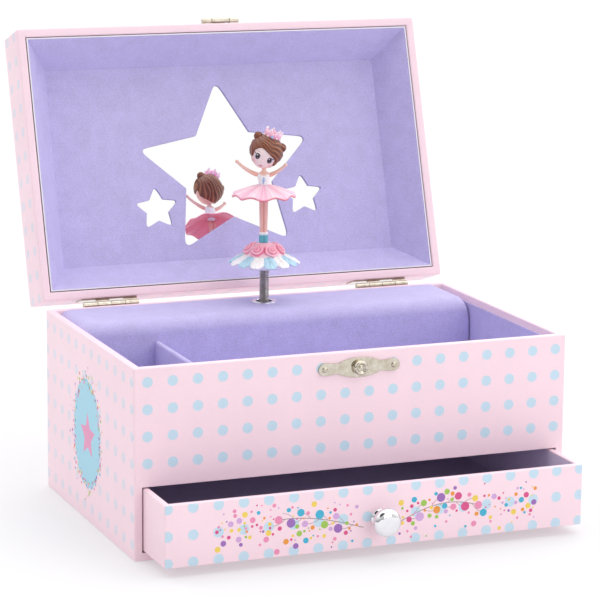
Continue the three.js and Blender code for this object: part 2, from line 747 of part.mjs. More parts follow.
// A five-pointed star with rounded tips, a little wider than tall. Its notches lie at "starWaist"
// of its radius, and "unit" turns its shares into millimetres.
function starPath({ x, y, radius, round: roundShare, turn }, unit) {
  const points = [];
  for (let corner = 0; corner < 10; corner += 1) {
    const reach = unit * (corner % 2 === 0 ? radius : radius * starWaist);
    const angle = degrees(turn) + (Math.PI * corner) / 5;
    points.push(new THREE.Vector2(
      unit * x + starStretch * reach * Math.cos(angle), unit * y - reach * Math.sin(angle)));
  }
  const path = new THREE.Path();
  const count = points.length;
  const round = unit * roundShare;
  for (let index = 0; index < count; index += 2) {
    const tip = points[index];
    const before = points[(index + count - 1) % count];
    const after = points[index + 1];
    const start = tip.clone().lerp(before, round / tip.distanceTo(before));
    const end = tip.clone().lerp(after, round / tip.distanceTo(after));
    if (index === 0) {
      path.moveTo(start.x, start.y);
    } else {
      path.lineTo(start.x, start.y);
    }
    path.quadraticCurveTo(tip.x, tip.y, end.x, end.y);
    path.lineTo(after.x, after.y);
  }
  path.closePath();
  return path;
}

function buildLid() {
  const rim = lidRimZ;
  const under = lidTopZ - lidPanelThickness;
  const wallTop = under - seam;
  place(lid, "lid_top_panel", box(-halfWidth, halfWidth, -halfDepth, halfDepth, under, lidTopZ), pinkPaper);
  place(lid, "lid_left_wall",
    box(-halfWidth, -halfWidth + lidWall, -halfDepth, halfDepth, rim, wallTop), pinkPaper);
  place(lid, "lid_right_wall",
    box(halfWidth - lidWall, halfWidth, -halfDepth, halfDepth, rim, wallTop), pinkPaper);
  const wallX = halfWidth - lidWall - seam;
  place(lid, "lid_front_wall",
    box(-wallX, wallX, -halfDepth, -halfDepth + lidWall, rim, wallTop), pinkPaper);
  place(lid, "lid_back_wall",
    box(-wallX, wallX, halfDepth - lidWall, halfDepth, rim, wallTop), pinkPaper);
}

// Sloping lining boards run from the rim to the star panel and meet in mitres.
function buildLidLining() {
  const rim = lidRimZ + 0.4;
  const deep = lidRimZ + lidRecess;
  const outerX = halfWidth - lidWall - seam;
  const outerY = halfDepth - lidWall - seam;
  const innerPanelX = outerX - lidFrameInset;
  const innerPanelY = outerY - lidFrameInset;
  const corner = (x, y, offset, z, sx, sy) => [sx * (x - offset), sy * (y - offset), z];
  const skewed = (sx, sy) => ({
    rimOut: corner(outerX, outerY, 0, rim, sx, sy),
    rimIn: corner(outerX, outerY, lining, rim, sx, sy),
    deepIn: corner(innerPanelX, innerPanelY, lining, deep, sx, sy),
    deepOut: corner(innerPanelX, innerPanelY, 0, deep, sx, sy),
  });
  const nudge = (points, axis, amount) => points.map((point) => {
    const moved = point.slice();
    moved[axis] += amount;
    return moved;
  });
  const half = seam / 2;
  const sides = [
    ["lid_lining_front", skewed(-1, -1), skewed(1, -1), 0],
    ["lid_lining_right", skewed(1, -1), skewed(1, 1), 1],
    ["lid_lining_back", skewed(1, 1), skewed(-1, 1), 0],
    ["lid_lining_left", skewed(-1, 1), skewed(-1, -1), 1],
  ];
  for (const [name, from, to, axis] of sides) {
    const section = (end) => [end.rimOut, end.rimIn, end.deepIn, end.deepOut];
    const direction = Math.sign(to.rimOut[axis] - from.rimOut[axis]);
    const start = nudge(section(from), axis, direction * half);
    const finishEnd = nudge(section(to), axis, -direction * half);
    place(lid, name, block(start.concat(finishEnd)), lavenderFlock);
  }
  const panelX = innerPanelX - lining - seam;
  const panelY = innerPanelY - lining - seam;
  const panel = shapeOf([[-panelX, -panelY], [panelX, -panelY], [panelX, panelY], [-panelX, panelY]]);
  const unit = Math.min(panelY, panelX / starPanelShape);
  stars.forEach((star) => panel.holes.push(starPath(star, unit)));
  place(lid, "star_panel", raised(panel, deep - starPanelThickness, deep, 6), lavenderFlock);
  const mirrorX = innerPanelX - mirrorMargin;
  const mirrorY = innerPanelY - mirrorMargin;
  const mirrorZ = deep + seam;
  place(lid, "mirror",
    box(-mirrorX, mirrorX, -mirrorY, mirrorY, mirrorZ, mirrorZ + mirrorThickness), silvered);
}

function buildLidHardware() {
  for (const [side, x] of [["left", -hingeX], ["right", hingeX]]) {
    place(lid, `hinge_upper_leaf_${side}`, hingeLeafSolid(x, true), nickel);
  }
}

// The hasp's tongue is folded back against the lid's front and swings down over the boss.
const haspAxisZ = lidRimZ + haspBarrelRadius * 2 + 0.4;
const haspAxisY = -halfDepth - haspBarrelRadius - haspThickness;
const tongueReach = haspAxisZ - latchZ;

function buildHasp() {
  const half = haspWidth / 2;
  const knuckle = half * 0.5;
  const plateY = -halfDepth - haspThickness;
  const plateZ = haspAxisZ + haspBarrelRadius + 0.4;
  const plate = box(-half, half, plateY, -halfDepth - boreGap, plateZ, plateZ + haspPlateHeight);
  const barrels = [-1, 1].flatMap((side) => {
    const from = Math.min(side * half, side * knuckle);
    const to = Math.max(side * half, side * knuckle);
    const barrel = rod(haspBarrelRadius, [from, haspAxisY, haspAxisZ], [to, haspAxisY, haspAxisZ]);
    const arm = box(from, to, plateY - haspThickness / 2, -halfDepth - partingGap, haspAxisZ - haspPinRadius,
      plateZ + 1);
    return [barrel, arm];
  });
  const bore = rod(haspPinRadius + boreGap,
    [-half - 1, haspAxisY, haspAxisZ], [half + 1, haspAxisY, haspAxisZ], 12);
  place(lid, "hasp_plate", cut(join(plate, ...barrels), bore).translate(latchX, 0, 0), nickel);
  const pin = rod(haspPinRadius, [-half, haspAxisY, haspAxisZ], [half, haspAxisY, haspAxisZ], 12);
  place(lid, "hasp_pin", pin.translate(latchX, 0, 0), nickel);
  const eyeRadius = latchBossRadius + haspEyeGap;
  const ringRadius = eyeRadius + haspEyeWidth;
  const shape = new THREE.Shape();
  const neck = knuckle - runningGap;
  shape.moveTo(-neck, 0);
  shape.lineTo(neck, 0);
  shape.lineTo(neck, tongueReach - ringRadius * 0.7);
  shape.absarc(0, tongueReach, ringRadius, -Math.PI / 4, Math.PI * 1.25, false);
  shape.lineTo(-neck, tongueReach - ringRadius * 0.7);
  shape.lineTo(-neck, 0);
  const eye = new THREE.Path();
  eye.absarc(0, tongueReach, eyeRadius, 0, 2 * Math.PI, true);
  shape.holes.push(eye);
  const blade = alongY(shape, haspAxisY - haspThickness / 2, haspThickness, 8).translate(0, 0, haspAxisZ);
  const barrel = rod(haspBarrelRadius, [-neck, haspAxisY, haspAxisZ], [neck, haspAxisY, haspAxisZ]);
  const tongue = cut(join(blade, barrel), bore).translate(latchX, 0, 0);
  place(lid, "hasp_tongue", tongue, nickel);
}

// ------------------------------------------------------------------- drawer
// The drawer is drawn closed and its group is pulled out.
const drawer = new THREE.Group();
drawer.position.y = -drawerPull;
model.add(drawer);

function buildDrawer() {
  const x1 = innerX - drawerClearance;
  const y0 = -halfDepth;
  const y1 = y0 + drawerDepth;
  const z0 = drawerFloorZ;
  const z1 = drawerTopZ;
  const front = y0 + drawerFrontThickness;
  const side = drawerSideThickness;
  const knobZ = z0 + drawerHeight * knobHeightShare;
  const hole = rod(screwRadius + shaftGap, [0, y0 - 1, knobZ], [0, front + 1, knobZ]);
  place(drawer, "drawer_front", cut(box(-x1, x1, y0, front, z0, z1), hole), pinkPaper);
  place(drawer, "drawer_left_side", box(-x1, -x1 + side, front, y1, z0, z1), pinkPaper);
  place(drawer, "drawer_right_side", box(x1 - side, x1, front, y1, z0, z1), pinkPaper);
  place(drawer, "drawer_back", box(-x1 + side, x1 - side, y1 - side, y1, z0, z1), pinkPaper);
  const floorZ = z0 + drawerBottomThickness;
  place(drawer, "drawer_bottom", box(-x1 + side, x1 - side, front, y1 - side, z0, floorZ), pinkPaper);
  place(drawer, "drawer_floor_lining",
    box(-x1 + side, x1 - side, front, y1 - side, floorZ, floorZ + drawerLining), violetPaper);
  const screwBore = screwRadius + boreGap;
  const knobProfile = [
    [screwBore, boreGap],
    [knobRadius * 0.7, boreGap],
    [knobRadius * 0.7, knobProud * 0.08],
    [knobRadius * 0.5, knobProud * 0.16],
    [knobRadius * 0.47, knobProud * 0.37],
    [knobRadius * 0.88, knobProud * 0.5],
    [knobRadius, knobProud * 0.61],
    [knobRadius, knobProud * 0.81],
    [knobRadius * 0.82, knobProud * 0.944],
    [knobRadius * 0.54, knobProud],
    [0, knobProud],
    [0, screwReach],
    [screwBore, screwReach],
  ];
  const knob = place(drawer, "drawer_knob", turned(knobProfile, 24).rotateX(Math.PI / 2), chrome);
  knob.position.set(0, y0, knobZ);
  const seat = drawerFrontThickness + shaftGap;
  const screw = place(drawer, "knob_screw", turned([
    [0, shaftGap - screwReach],
    [screwRadius, shaftGap - screwReach],
    [screwRadius, seat],
    [screwHeadRadius, seat],
    [screwHeadRadius * 0.75, seat + screwHeadHeight * 0.85],
    [0, seat + screwHeadHeight],
  ], 20).rotateX(-Math.PI / 2), steel);
  screw.position.set(0, y0, knobZ);
}

// ------------------------------------------------------------------- figure
const figure = new THREE.Group();
figure.position.set(spindleX, spindleY, coverTopZ);
figure.rotation.z = degrees(figureTurn);
model.add(figure);

const springLength = foldDepth + rosetteHeight + springPitch;

class Coil extends THREE.Curve {
  getPoint(t) {
    const radius = springRadius - springWire / 2;
    const angle = (2 * Math.PI * t * springLength) / springPitch;
    return new THREE.Vector3(radius * Math.cos(angle), radius * Math.sin(angle), t * springLength);
  }
}

function buildSpring() {
  const perTurn = 7;
  const section = new THREE.Shape();
  section.absarc(0, 0, springWire / 2, 0, 2 * Math.PI, false);
  const steps = Math.round((springLength / springPitch) * perTurn);
  const options = { steps, extrudePath: new Coil(), bevelEnabled: false, curveSegments: 2 };
  const spring = place(model, "spring", new THREE.ExtrudeGeometry(section, options), steel);
  spring.position.set(spindleX, spindleY, foldZ);
}

function ball(radius, center, segments = 16) {
  const geometry = new THREE.SphereGeometry(radius, segments, Math.round(segments * 0.7));
  return geometry.rotateX(Math.PI / 2).translate(...center);
}

// The base under the dancer: drooping petals below and a cluster of roses above.
function buildRosette() {
  const base = rosetteHeight;
  const bore = springRadius + springWire / 2;
  const top = base + rosetteThickness;
  const rosette = turned([
    [0, base + springPitch * 3],
    [bore, base + springPitch * 3],
    [bore, base],
    [rosetteRadius * 0.36, base],
    [rosetteRadius * 0.62, base + rosetteThickness * 0.15],
    [rosetteRadius, base + rosetteThickness * 0.28],
    [rosetteRadius * 0.98, base + rosetteThickness * 0.43],
    [rosetteRadius * 0.68, base + rosetteThickness * 0.64],
    [rosetteRadius * 0.6, base + rosetteThickness * 0.87],
    [rosetteRadius * 0.36, top],
    [0, top],
  ], 28);
  place(figure, "rosette", rosette, petalBlue);
}

function buildDancer() {
  const feet = rosetteHeight + rosetteThickness + runningGap;
  const x = dancerShift;
  const headCenter = [headShift, 0, headHeight];
  const tilt = (geometry) => {
    geometry.translate(-headShift, 0, -headHeight);
    geometry.rotateY(degrees(headTilt));
    return geometry.translate(headShift, 0, headHeight);
  };
  const shoes = rod(legRadius * 1.3, [x, 0, feet], [x, 0, feet + legRadius * 2], 14);
  const legs = rod(legRadius, [x, 0, feet + 1], [x, 0, waistHeight], 14);
  const torso = turned([
    [0, waistHeight - legRadius * 2],
    [legRadius * 1.3, waistHeight - legRadius * 2],
    [legRadius * 1.4, waistHeight],
    [legRadius * 1.9, shoulderHeight - 1.5],
    [legRadius * 1.3, shoulderHeight + 0.6],
    [legRadius * 0.75, shoulderHeight + 1.4],
    [legRadius * 0.75, headHeight - headRadius * 0.7],
    [0, headHeight - headRadius * 0.7],
  ], 16).translate(x, 0, 0);
  const arms = hands.map((hand) => {
    const shoulder = [x + Math.sign(hand.x) * legRadius * 1.3, 0, shoulderHeight - armRadius];
    return rod(armRadius, shoulder, [hand.x, hand.y, hand.z], 10);
  });
  place(figure, "dancer", join(shoes, legs, torso, ...arms, ball(headRadius, headCenter)), skin);
  const tutu = turned([
    [legRadius * 1.75, waistHeight + 0.4],
    [tutuRadius * 0.58, waistHeight - 1],
    [tutuRadius, waistHeight - 4],
    [tutuRadius * 0.99, waistHeight - 5.4],
    [tutuRadius * 0.58, waistHeight - 4.2],
    [legRadius * 1.75, waistHeight - 4.2],
  ], 28);
  place(figure, "tutu", tutu.translate(x, 0, 0), tutuPink);
  const cap = ball(headRadius + hairThickness, headCenter);
  const buns = (extra) => [-1, 1].map((side) =>
    ball(bunRadius + extra, [headShift + side * headRadius * 0.86, 0, headHeight + headRadius * 0.62], 10));
  const faceHalf = headRadius * 0.84;
  const wide = headRadius * 3;
  const face = box(headShift - faceHalf, headShift + faceHalf, -wide, -headRadius * 0.17,
    headHeight - wide, headHeight + headRadius * 0.35);
  const under = box(-wide, wide, -wide, wide, headHeight - wide, headHeight - headRadius * 0.58);
  const skull = ball(headRadius + hairGap, headCenter);
  place(figure, "hair", tilt(cut(join(cap, ...buns(0)), skull, face, under)), hairBrown);
  const crownTop = headHeight + headRadius + crownHeight;
  const crownLow = headHeight + headRadius * 0.7;
  const band = turned([
    [crownHeight * 0.52, crownLow],
    [crownHeight * 0.66, crownLow],
    [crownHeight * 0.75, crownTop],
    [crownHeight * 0.6, crownTop],
  ], 20).translate(headShift - 0.5, -0.5, 0);
  const crown = cut(band, ball(headRadius + hairThickness + hairGap, headCenter), ...buns(hairGap));
  place(figure, "crown", tilt(crown), crownPink);
}

buildCase();
buildCover();
buildDivider();
buildLatch();
buildHinges();
buildMovement();
buildCylinder();
buildSpindle();
buildGovernor();
buildWinding();
buildLid();
buildLidLining();
buildLidHardware();
buildHasp();
buildDrawer();
buildSpring();
buildRosette();
buildDancer();

export default model;
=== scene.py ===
# %% [markdown]
# # A musical jewellery box with a dancer
#
# The box is made of thin boards covered with printed paper. A lid with a mirror stands open,
# a drawer is pulled out, and a small dancer stands on a coil spring over a wind-up movement.
# This lesson dresses the fixed model of the box: it keeps every part where it is and gives each
# one the surface, the colour and the small detail of the real thing.

# %% Load the fixed model
import json
import math

import bmesh
import bpy
import numpy as np
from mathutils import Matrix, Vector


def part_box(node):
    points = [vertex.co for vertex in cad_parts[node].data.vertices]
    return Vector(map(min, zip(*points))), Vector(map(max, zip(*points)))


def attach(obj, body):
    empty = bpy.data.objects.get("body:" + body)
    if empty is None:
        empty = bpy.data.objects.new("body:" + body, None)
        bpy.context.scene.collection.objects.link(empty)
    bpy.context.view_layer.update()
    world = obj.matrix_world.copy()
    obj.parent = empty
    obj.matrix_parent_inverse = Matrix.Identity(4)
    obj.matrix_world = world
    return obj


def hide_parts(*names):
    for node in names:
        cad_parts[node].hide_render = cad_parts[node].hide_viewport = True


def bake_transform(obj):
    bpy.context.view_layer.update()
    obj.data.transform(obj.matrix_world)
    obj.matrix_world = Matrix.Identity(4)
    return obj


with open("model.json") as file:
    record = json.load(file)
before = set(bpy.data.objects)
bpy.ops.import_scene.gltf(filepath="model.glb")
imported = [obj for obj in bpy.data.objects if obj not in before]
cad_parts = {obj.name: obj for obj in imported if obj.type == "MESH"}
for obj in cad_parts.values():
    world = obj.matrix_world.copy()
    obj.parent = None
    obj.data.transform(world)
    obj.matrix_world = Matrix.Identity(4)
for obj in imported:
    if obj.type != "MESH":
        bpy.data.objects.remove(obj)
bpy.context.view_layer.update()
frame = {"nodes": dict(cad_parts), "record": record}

# %% [markdown]
# ## The camera
#
# A small product looks best from far away through a long lens, which keeps its sides nearly
# parallel. A 160 mm lens at about 1.4 m does that here.

# %% Camera
def add_object(name, data):
    """A new object in the scene that shows the given data."""
    result = bpy.data.objects.new(name, data)
    bpy.context.collection.objects.link(result)
    return result


CAMERA_PLACE = (-0.5231, -1.2983, 0.3982)
CAMERA_TURN = (78.422, -0.515, -21.801)
camera_data = bpy.data.cameras.new("camera")
camera_data.lens = 160.0
camera_data.sensor_width = 36.0
camera = add_object("camera", camera_data)
camera.location = CAMERA_PLACE
camera.rotation_euler = [math.radians(angle) for angle in CAMERA_TURN]
bpy.context.scene.camera = camera
print("camera placed at", CAMERA_PLACE)

# %% [markdown]
# ## Sizes read from the model
#
# Every surface is placed from the model's own parts. `span` gives the lowest and highest corner of
# a part in millimetres, and all the shapes below are worked out in millimetres too.

# %% Sizes
MM = 0.001


def span(node):
    """The lowest and the highest corner of a part of the model, in millimetres."""
    low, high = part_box(node)
    return np.array(low) / MM, np.array(high) / MM


joints = {joint["name"]: joint for joint in frame["record"]["behaviour"]["joints"]}
base_high = span("base_board")[1]
right_low, right_high = span("right_wall")
cover_low, cover_high = span("movement_cover")
tray_low, tray_high = span("drawer_front")
tray_back = span("drawer_back")[1][1]
PRINT_ROOM = 0.1
HALF_X = base_high[0] - PRINT_ROOM
HALF_Y = base_high[1]
BASE_TOP = base_high[2]
RIM = right_high[2]
WALL = right_high[0] - right_low[0]
BAY_TOP = span("front_panel")[0][2]
HINGE = np.array(joints["lid_hinge"]["pos_m"]) / MM
OPEN_ANGLE = math.radians(joints["lid_hinge"]["range_deg"][1])
SPINDLE = np.array(joints["figure_turn"]["pos_m"]) / MM
print("case", 2 * HALF_X, "x", 2 * HALF_Y, "x", RIM, "mm, walls", round(WALL, 1))

# %% [markdown]
# ## The lid's own upright frame
#
# The lid is easiest to draw closed, lying flat on the case. `opened` turns a closed lid's points
# about the hinge pins into the open place where the model holds it, and `closed` undoes it.


# %% Turning the lid
def turned_about_hinge(points, angle):
    """Turns points about the hinge line: (y, z) rotate by the angle, and x stays."""
    points = np.asarray(points, float)
    y, z = points[..., 1] - HINGE[1], points[..., 2] - HINGE[2]
    cosine, sine = math.cos(angle), math.sin(angle)
    moved = [points[..., 0], HINGE[1] + y * cosine - z * sine, HINGE[2] + y * sine + z * cosine]
    return np.stack(moved, axis=-1)


def opened(points):
    """From the closed lid's frame to the open lid's place."""
    return turned_about_hinge(points, -OPEN_ANGLE)


def closed(points):
    """From the open lid's place to the closed lid's frame."""
    return turned_about_hinge(points, OPEN_ANGLE)


def upright(points):
    """Leaves points where they are, for the pieces that stand upright."""
    return np.asarray(points, float)


def points_of(mesh):
    """All points of a mesh in millimetres."""
    flat = np.empty(len(mesh.vertices) * 3)
    mesh.vertices.foreach_get("co", flat)
    return flat.reshape(-1, 3) / MM


def closed_span(node):
    """The lowest and the highest corner of a part of the lid in the closed lid's frame."""
    corners = closed(points_of(frame["nodes"][node].data))
    return corners.min(axis=0), corners.max(axis=0)


LID_TOP = closed_span("lid_top_panel")[1][2]
lid_wall_low, lid_wall_high = closed_span("lid_right_wall")
LID_RIM = lid_wall_low[2]
LID_WALL = lid_wall_high[0] - lid_wall_low[0]
star_low, star_high = closed_span("star_panel")
PANEL_Z = star_low[2]
PANEL_X = star_high[0]
print("lid rim", round(LID_RIM, 2), "top", round(LID_TOP, 2), "star panel", round(PANEL_Z, 2))

# %% [markdown]
# ## Surfaces from grids
#
# Almost every piece below is a grid of points: one direction runs round the piece and the other
# runs along its profile. `grid_faces` joins neighbouring points into faces and `new_piece` makes
# the object. Where all the points of a row fall together, as at a pole, the doubles are merged and
# the surface closes.


# %% Grids into meshes
def grid_faces(rows, columns, wrap_rows, wrap_columns):
    """Four-cornered faces between neighbouring points of a grid, as an array of point numbers."""
    row = np.arange(rows if wrap_rows else rows - 1)
    column = np.arange(columns if wrap_columns else columns - 1)
    r, c = np.meshgrid(row, column, indexing="ij")
    r2, c2 = (r + 1) % rows, (c + 1) % columns
    corners = [r * columns + c, r * columns + c2, r2 * columns + c2, r2 * columns + c]
    return np.stack(corners, axis=-1).reshape(-1, 4)


def finish_mesh(mesh, merge=1e-6):
    """Merges doubled points, drops faces without area and turns all faces outwards."""
    work = bmesh.new()
    work.from_mesh(mesh)
    bmesh.ops.remove_doubles(work, verts=work.verts, dist=merge)
    bmesh.ops.dissolve_degenerate(work, edges=work.edges, dist=merge)
    bmesh.ops.recalc_face_normals(work, faces=work.faces)
    work.to_mesh(mesh)
    work.free()


def new_piece(name, points, faces, materials, face_slots=None, smooth=True):
    """Makes an object from points in millimetres and faces of any number of corners."""
    mesh = bpy.data.meshes.new(name)
    mesh.from_pydata((np.asarray(points) * MM).tolist(), [], [list(face) for face in faces])
    for material in materials:
        mesh.materials.append(material)
    if face_slots is not None:
        mesh.polygons.foreach_set("material_index", np.asarray(face_slots, np.int32))
    finish_mesh(mesh)
    mesh.polygons.foreach_set("use_smooth", np.full(len(mesh.polygons), smooth))
    return add_object(name, mesh)


def sharpen(piece, degrees_limit=35):
    """Keeps edges sharper than the limit crisp under smooth shading."""
    mesh = piece.data
    work = bmesh.new()
    work.from_mesh(mesh)
    limit = math.radians(degrees_limit)
    for edge in work.edges:
        edge.smooth = len(edge.link_faces) == 2 and edge.calc_face_angle(0.0) < limit
    work.to_mesh(mesh)
    work.free()
    return piece


def place_on(piece, body, slot, *nodes):
    """Lets a piece ride on a body and hides the parts of the model it stands for; "slot" is not used."""
    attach(piece, body)
    if nodes:
        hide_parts(*nodes)
    print(f"{piece.name}: {len(piece.data.polygons)} faces on {body}")


# %% [markdown]
# ## Profiles carried round a rectangle
#
# Walls, rims, lids and trays are all one profile carried round a rectangle, like a picture frame.
# A profile point is (inset, height, corner radius): how far it lies inside the outer rectangle,
# how high it is, and how round the corner is there. An inset of half the depth shrinks the
# rectangle to a line, which closes a top or a floor.


# %% Rectangles and frames
def rounded_rectangle(half_x, half_y, radius, steps=4):
    """Points round a rectangle, anticlockwise, with each corner a quarter circle of the radius."""
    half_x, half_y = max(half_x, 0.0), max(half_y, 0.0)
    radius = min(radius, half_x, half_y)
    angle = np.linspace(0, math.pi / 2, steps + 1)
    centres = [(1, 1, 0), (-1, 1, 1), (-1, -1, 2), (1, -1, 3)]
    corners = []
    for side_x, side_y, quarter in centres:
        turn = angle + quarter * math.pi / 2
        x = side_x * (half_x - radius) + radius * np.cos(turn)
        y = side_y * (half_y - radius) + radius * np.sin(turn)
        corners.append(np.stack([x, y], axis=-1))
    return np.concatenate(corners)


def bend(inset, height, radius, start, end, corner):
    """Profile rows along a quarter circle round (inset, height). The angles are in degrees: 0 points
    inwards from the case's side and 90 points up."""
    angles = np.radians(np.linspace(start, end, 5))
    return [(inset + radius * math.cos(a), height + radius * math.sin(a), corner) for a in angles]


def framed(name, half_x, half_y, profile, materials, bands=None, wrap=True, centre=(0, 0), move=upright):
    """A profile of (inset, height, corner radius) rows carried round a rectangle.
    "bands" gives a material number for each stretch between two rows."""
    rings = []
    for inset, height, radius in profile:
        ring = rounded_rectangle(half_x - inset, half_y - inset, radius)
        level = np.full((len(ring), 1), height)
        rings.append(np.hstack([ring + np.array(centre), level]))
    rings = np.array(rings)
    faces = grid_faces(len(profile), rings.shape[1], wrap, True)
    stretches = len(profile) if wrap else len(profile) - 1
    slots = np.repeat(bands if bands is not None else [0] * stretches, rings.shape[1])
    return new_piece(name, move(rings.reshape(-1, 3)), faces, materials, slots)


def prism(name, outline, low, high, materials, move=upright):
    """An outline in the X-Y plane carried straight up, with a flat face at each end."""
    outline = np.asarray(outline)
    count = len(outline)
    lower = np.hstack([outline, np.full((count, 1), low)])
    upper = np.hstack([outline, np.full((count, 1), high)])
    sides = grid_faces(2, count, False, True).tolist()
    ends = [list(range(count)), list(range(count, 2 * count))]
    return new_piece(name, move(np.vstack([lower, upper])), sides + ends, materials)


# %% [markdown]
# ## Node helpers
#
# A material is a tree of nodes. These helpers add nodes in one line each, so that a material
# below reads like a recipe: constants go straight on the shader's own sockets, and only colours,
# masks, values and normals that change over the surface are linked.


# %% Node helpers
class Tree:
    """Adds nodes to a node tree. An input may be a number, a colour or another node's output."""

    def __init__(self, tree):
        self.tree = tree

    def feed(self, socket, value):
        if isinstance(value, bpy.types.NodeSocket):
            self.tree.links.new(value, socket)
        else:
            socket.default_value = value

    def add(self, kind, inputs=None, **settings):
        node = self.tree.nodes.new(kind)
        for key, value in settings.items():
            setattr(node, key, value)
        for key, value in (inputs or {}).items():
            self.feed(node.inputs[key], value)
        return node

    def math(self, operation, first, second=0.0):
        return self.add("ShaderNodeMath", {0: first, 1: second}, operation=operation).outputs[0]

    def vector(self, operation, first, second=(0, 0, 0)):
        node = self.add("ShaderNodeVectorMath", {0: first, 1: second}, operation=operation)
        return node.outputs[1 if operation in ("LENGTH", "DOT_PRODUCT") else 0]

    def mix(self, factor, first, second, blend="MIX"):
        inputs = {0: factor, 6: first, 7: second}
        return self.add("ShaderNodeMix", inputs, data_type="RGBA", blend_type=blend).outputs[2]

    def remap(self, value, low, high, new_low, new_high):
        inputs = {0: value, 1: low, 2: high, 3: new_low, 4: new_high}
        return self.add("ShaderNodeMapRange", inputs).outputs[0]

    def noise(self, vector, scale, detail=3.0, roughness=0.5):
        inputs = {"Vector": vector, "Scale": scale, "Detail": detail, "Roughness": roughness}
        return self.add("ShaderNodeTexNoise", inputs).outputs["Fac"]

    def place(self):
        """Where a point lies in the piece's own coordinates."""
        return self.add("ShaderNodeTexCoord").outputs["Object"]


def tint(hex_colour):
    """A colour written as in print, such as F5A8C8, as the linear values that shaders use."""
    parts = [int(hex_colour[i:i + 2], 16) / 255 for i in (0, 2, 4)]
    linear = [p / 12.92 if p <= 0.04045 else ((p + 0.055) / 1.055) ** 2.4 for p in parts]
    return (*linear, 1.0)


def shader(name, **constants):
    """A new material: its tree, its Principled BSDF with constants set, and the material."""
    material = bpy.data.materials.new(name)
    material.use_nodes = True
    tree = Tree(material.node_tree)
    surface = material.node_tree.nodes["Principled BSDF"]
    for key, value in constants.items():
        surface.inputs[key.replace("_", " ")].default_value = value
    return material, tree, surface


def link(tree, output, surface, socket):
    """Lets a node's output drive one socket of the shader."""
    tree.feed(surface.inputs[socket], output)


# %% [markdown]
# ## Shared effects
#
# Three effects come back in several finishes: a soft unevenness of tone, the fine grain of paper
# and board, and the lengthwise scratches of rolled metal. Each is a node group with named inputs,
# built once and placed in each material with its own values.


# %% Effect groups
def effect_group(name, inputs, outputs):
    """An empty shader node group with float or vector inputs and float outputs."""
    group = bpy.data.node_groups.new(name, "ShaderNodeTree")
    for key, default in inputs:
        kind = "NodeSocketVector" if default is None else "NodeSocketFloat"
        socket = group.interface.new_socket(key, in_out="INPUT", socket_type=kind)
        if default is not None:
            socket.default_value = default
    for key in outputs:
        group.interface.new_socket(key, in_out="OUTPUT", socket_type="NodeSocketFloat")
    tree = Tree(group)
    source = tree.add("NodeGroupInput")
    sink = tree.add("NodeGroupOutput")
    return group, tree, source.outputs, sink.inputs


def per_metre(tree, given):
    """The noise scale whose features are as large as the group's Size, given in millimetres."""
    return tree.math("DIVIDE", 1.0, tree.math("MULTIPLY", given["Size"], MM))


mottle_group, tree, given, result = effect_group(
    "soft mottle", [("Vector", None), ("Size", 20.0), ("Low", 0.9), ("High", 1.0)], ["Value"])
scale = per_metre(tree, given)
cloud = tree.noise(given["Vector"], scale, 4.0, 0.6)
tree.feed(result["Value"], tree.remap(cloud, 0.3, 0.7, given["Low"], given["High"]))

grain_group, tree, given, result = effect_group(
    "fine grain", [("Vector", None), ("Size", 0.4), ("Coarse", 0.35)], ["Height"])
scale = per_metre(tree, given)
fine = tree.noise(given["Vector"], scale, 5.0, 0.65)
coarse = tree.noise(given["Vector"], tree.math("MULTIPLY", scale, 0.18), 3.0, 0.5)
weighted = tree.math("MULTIPLY", coarse, given["Coarse"])
tree.feed(result["Height"], tree.math("ADD", fine, weighted))

brush_group, tree, given, result = effect_group(
    "brushed metal", [("Vector", None), ("Size", 0.15)], ["Height", "Tarnish"])
scale = per_metre(tree, given)
stretched = tree.vector("MULTIPLY", given["Vector"], (0.06, 1.0, 1.0))
tree.feed(result["Height"], tree.noise(stretched, scale, 3.0, 0.6))
stain = tree.noise(given["Vector"], tree.math("MULTIPLY", scale, 0.05), 4.0, 0.6)
tree.feed(result["Tarnish"], tree.remap(stain, 0.35, 0.7, 0.0, 1.0))


def effect(tree, group, **values):
    """Places an effect group in a material and sets or links its inputs."""
    node = tree.add("ShaderNodeGroup", node_tree=group)
    for key, value in values.items():
        tree.feed(node.inputs[key], value)
    return node.outputs


def roughen(tree, surface, height, strength, distance):
    """Lets a height push the surface in and out by up to a distance in metres."""
    bump = tree.add("ShaderNodeBump", {"Height": height, "Strength": strength, "Distance": distance})
    link(tree, bump.outputs[0], surface, "Normal")


print("effect groups:", [group.name for group in bpy.data.node_groups])

# %% [markdown]
# ## Printed paper
#
# The paper is printed pale pink with a square grid of pale blue dots and has a satin varnish.
# The dots follow each face of a box, so every papered piece carries a map, `paper`, that unrolls
# its faces in millimetres, and a mark, `printed`, that is 1 where the dots are printed and 0 on
# the plain rims. The grid is worked out from the map with a few steps of arithmetic.


# %% Paper map
DOT_PITCH = (13.32, 13.95)
DOT_RADIUS = 2.75


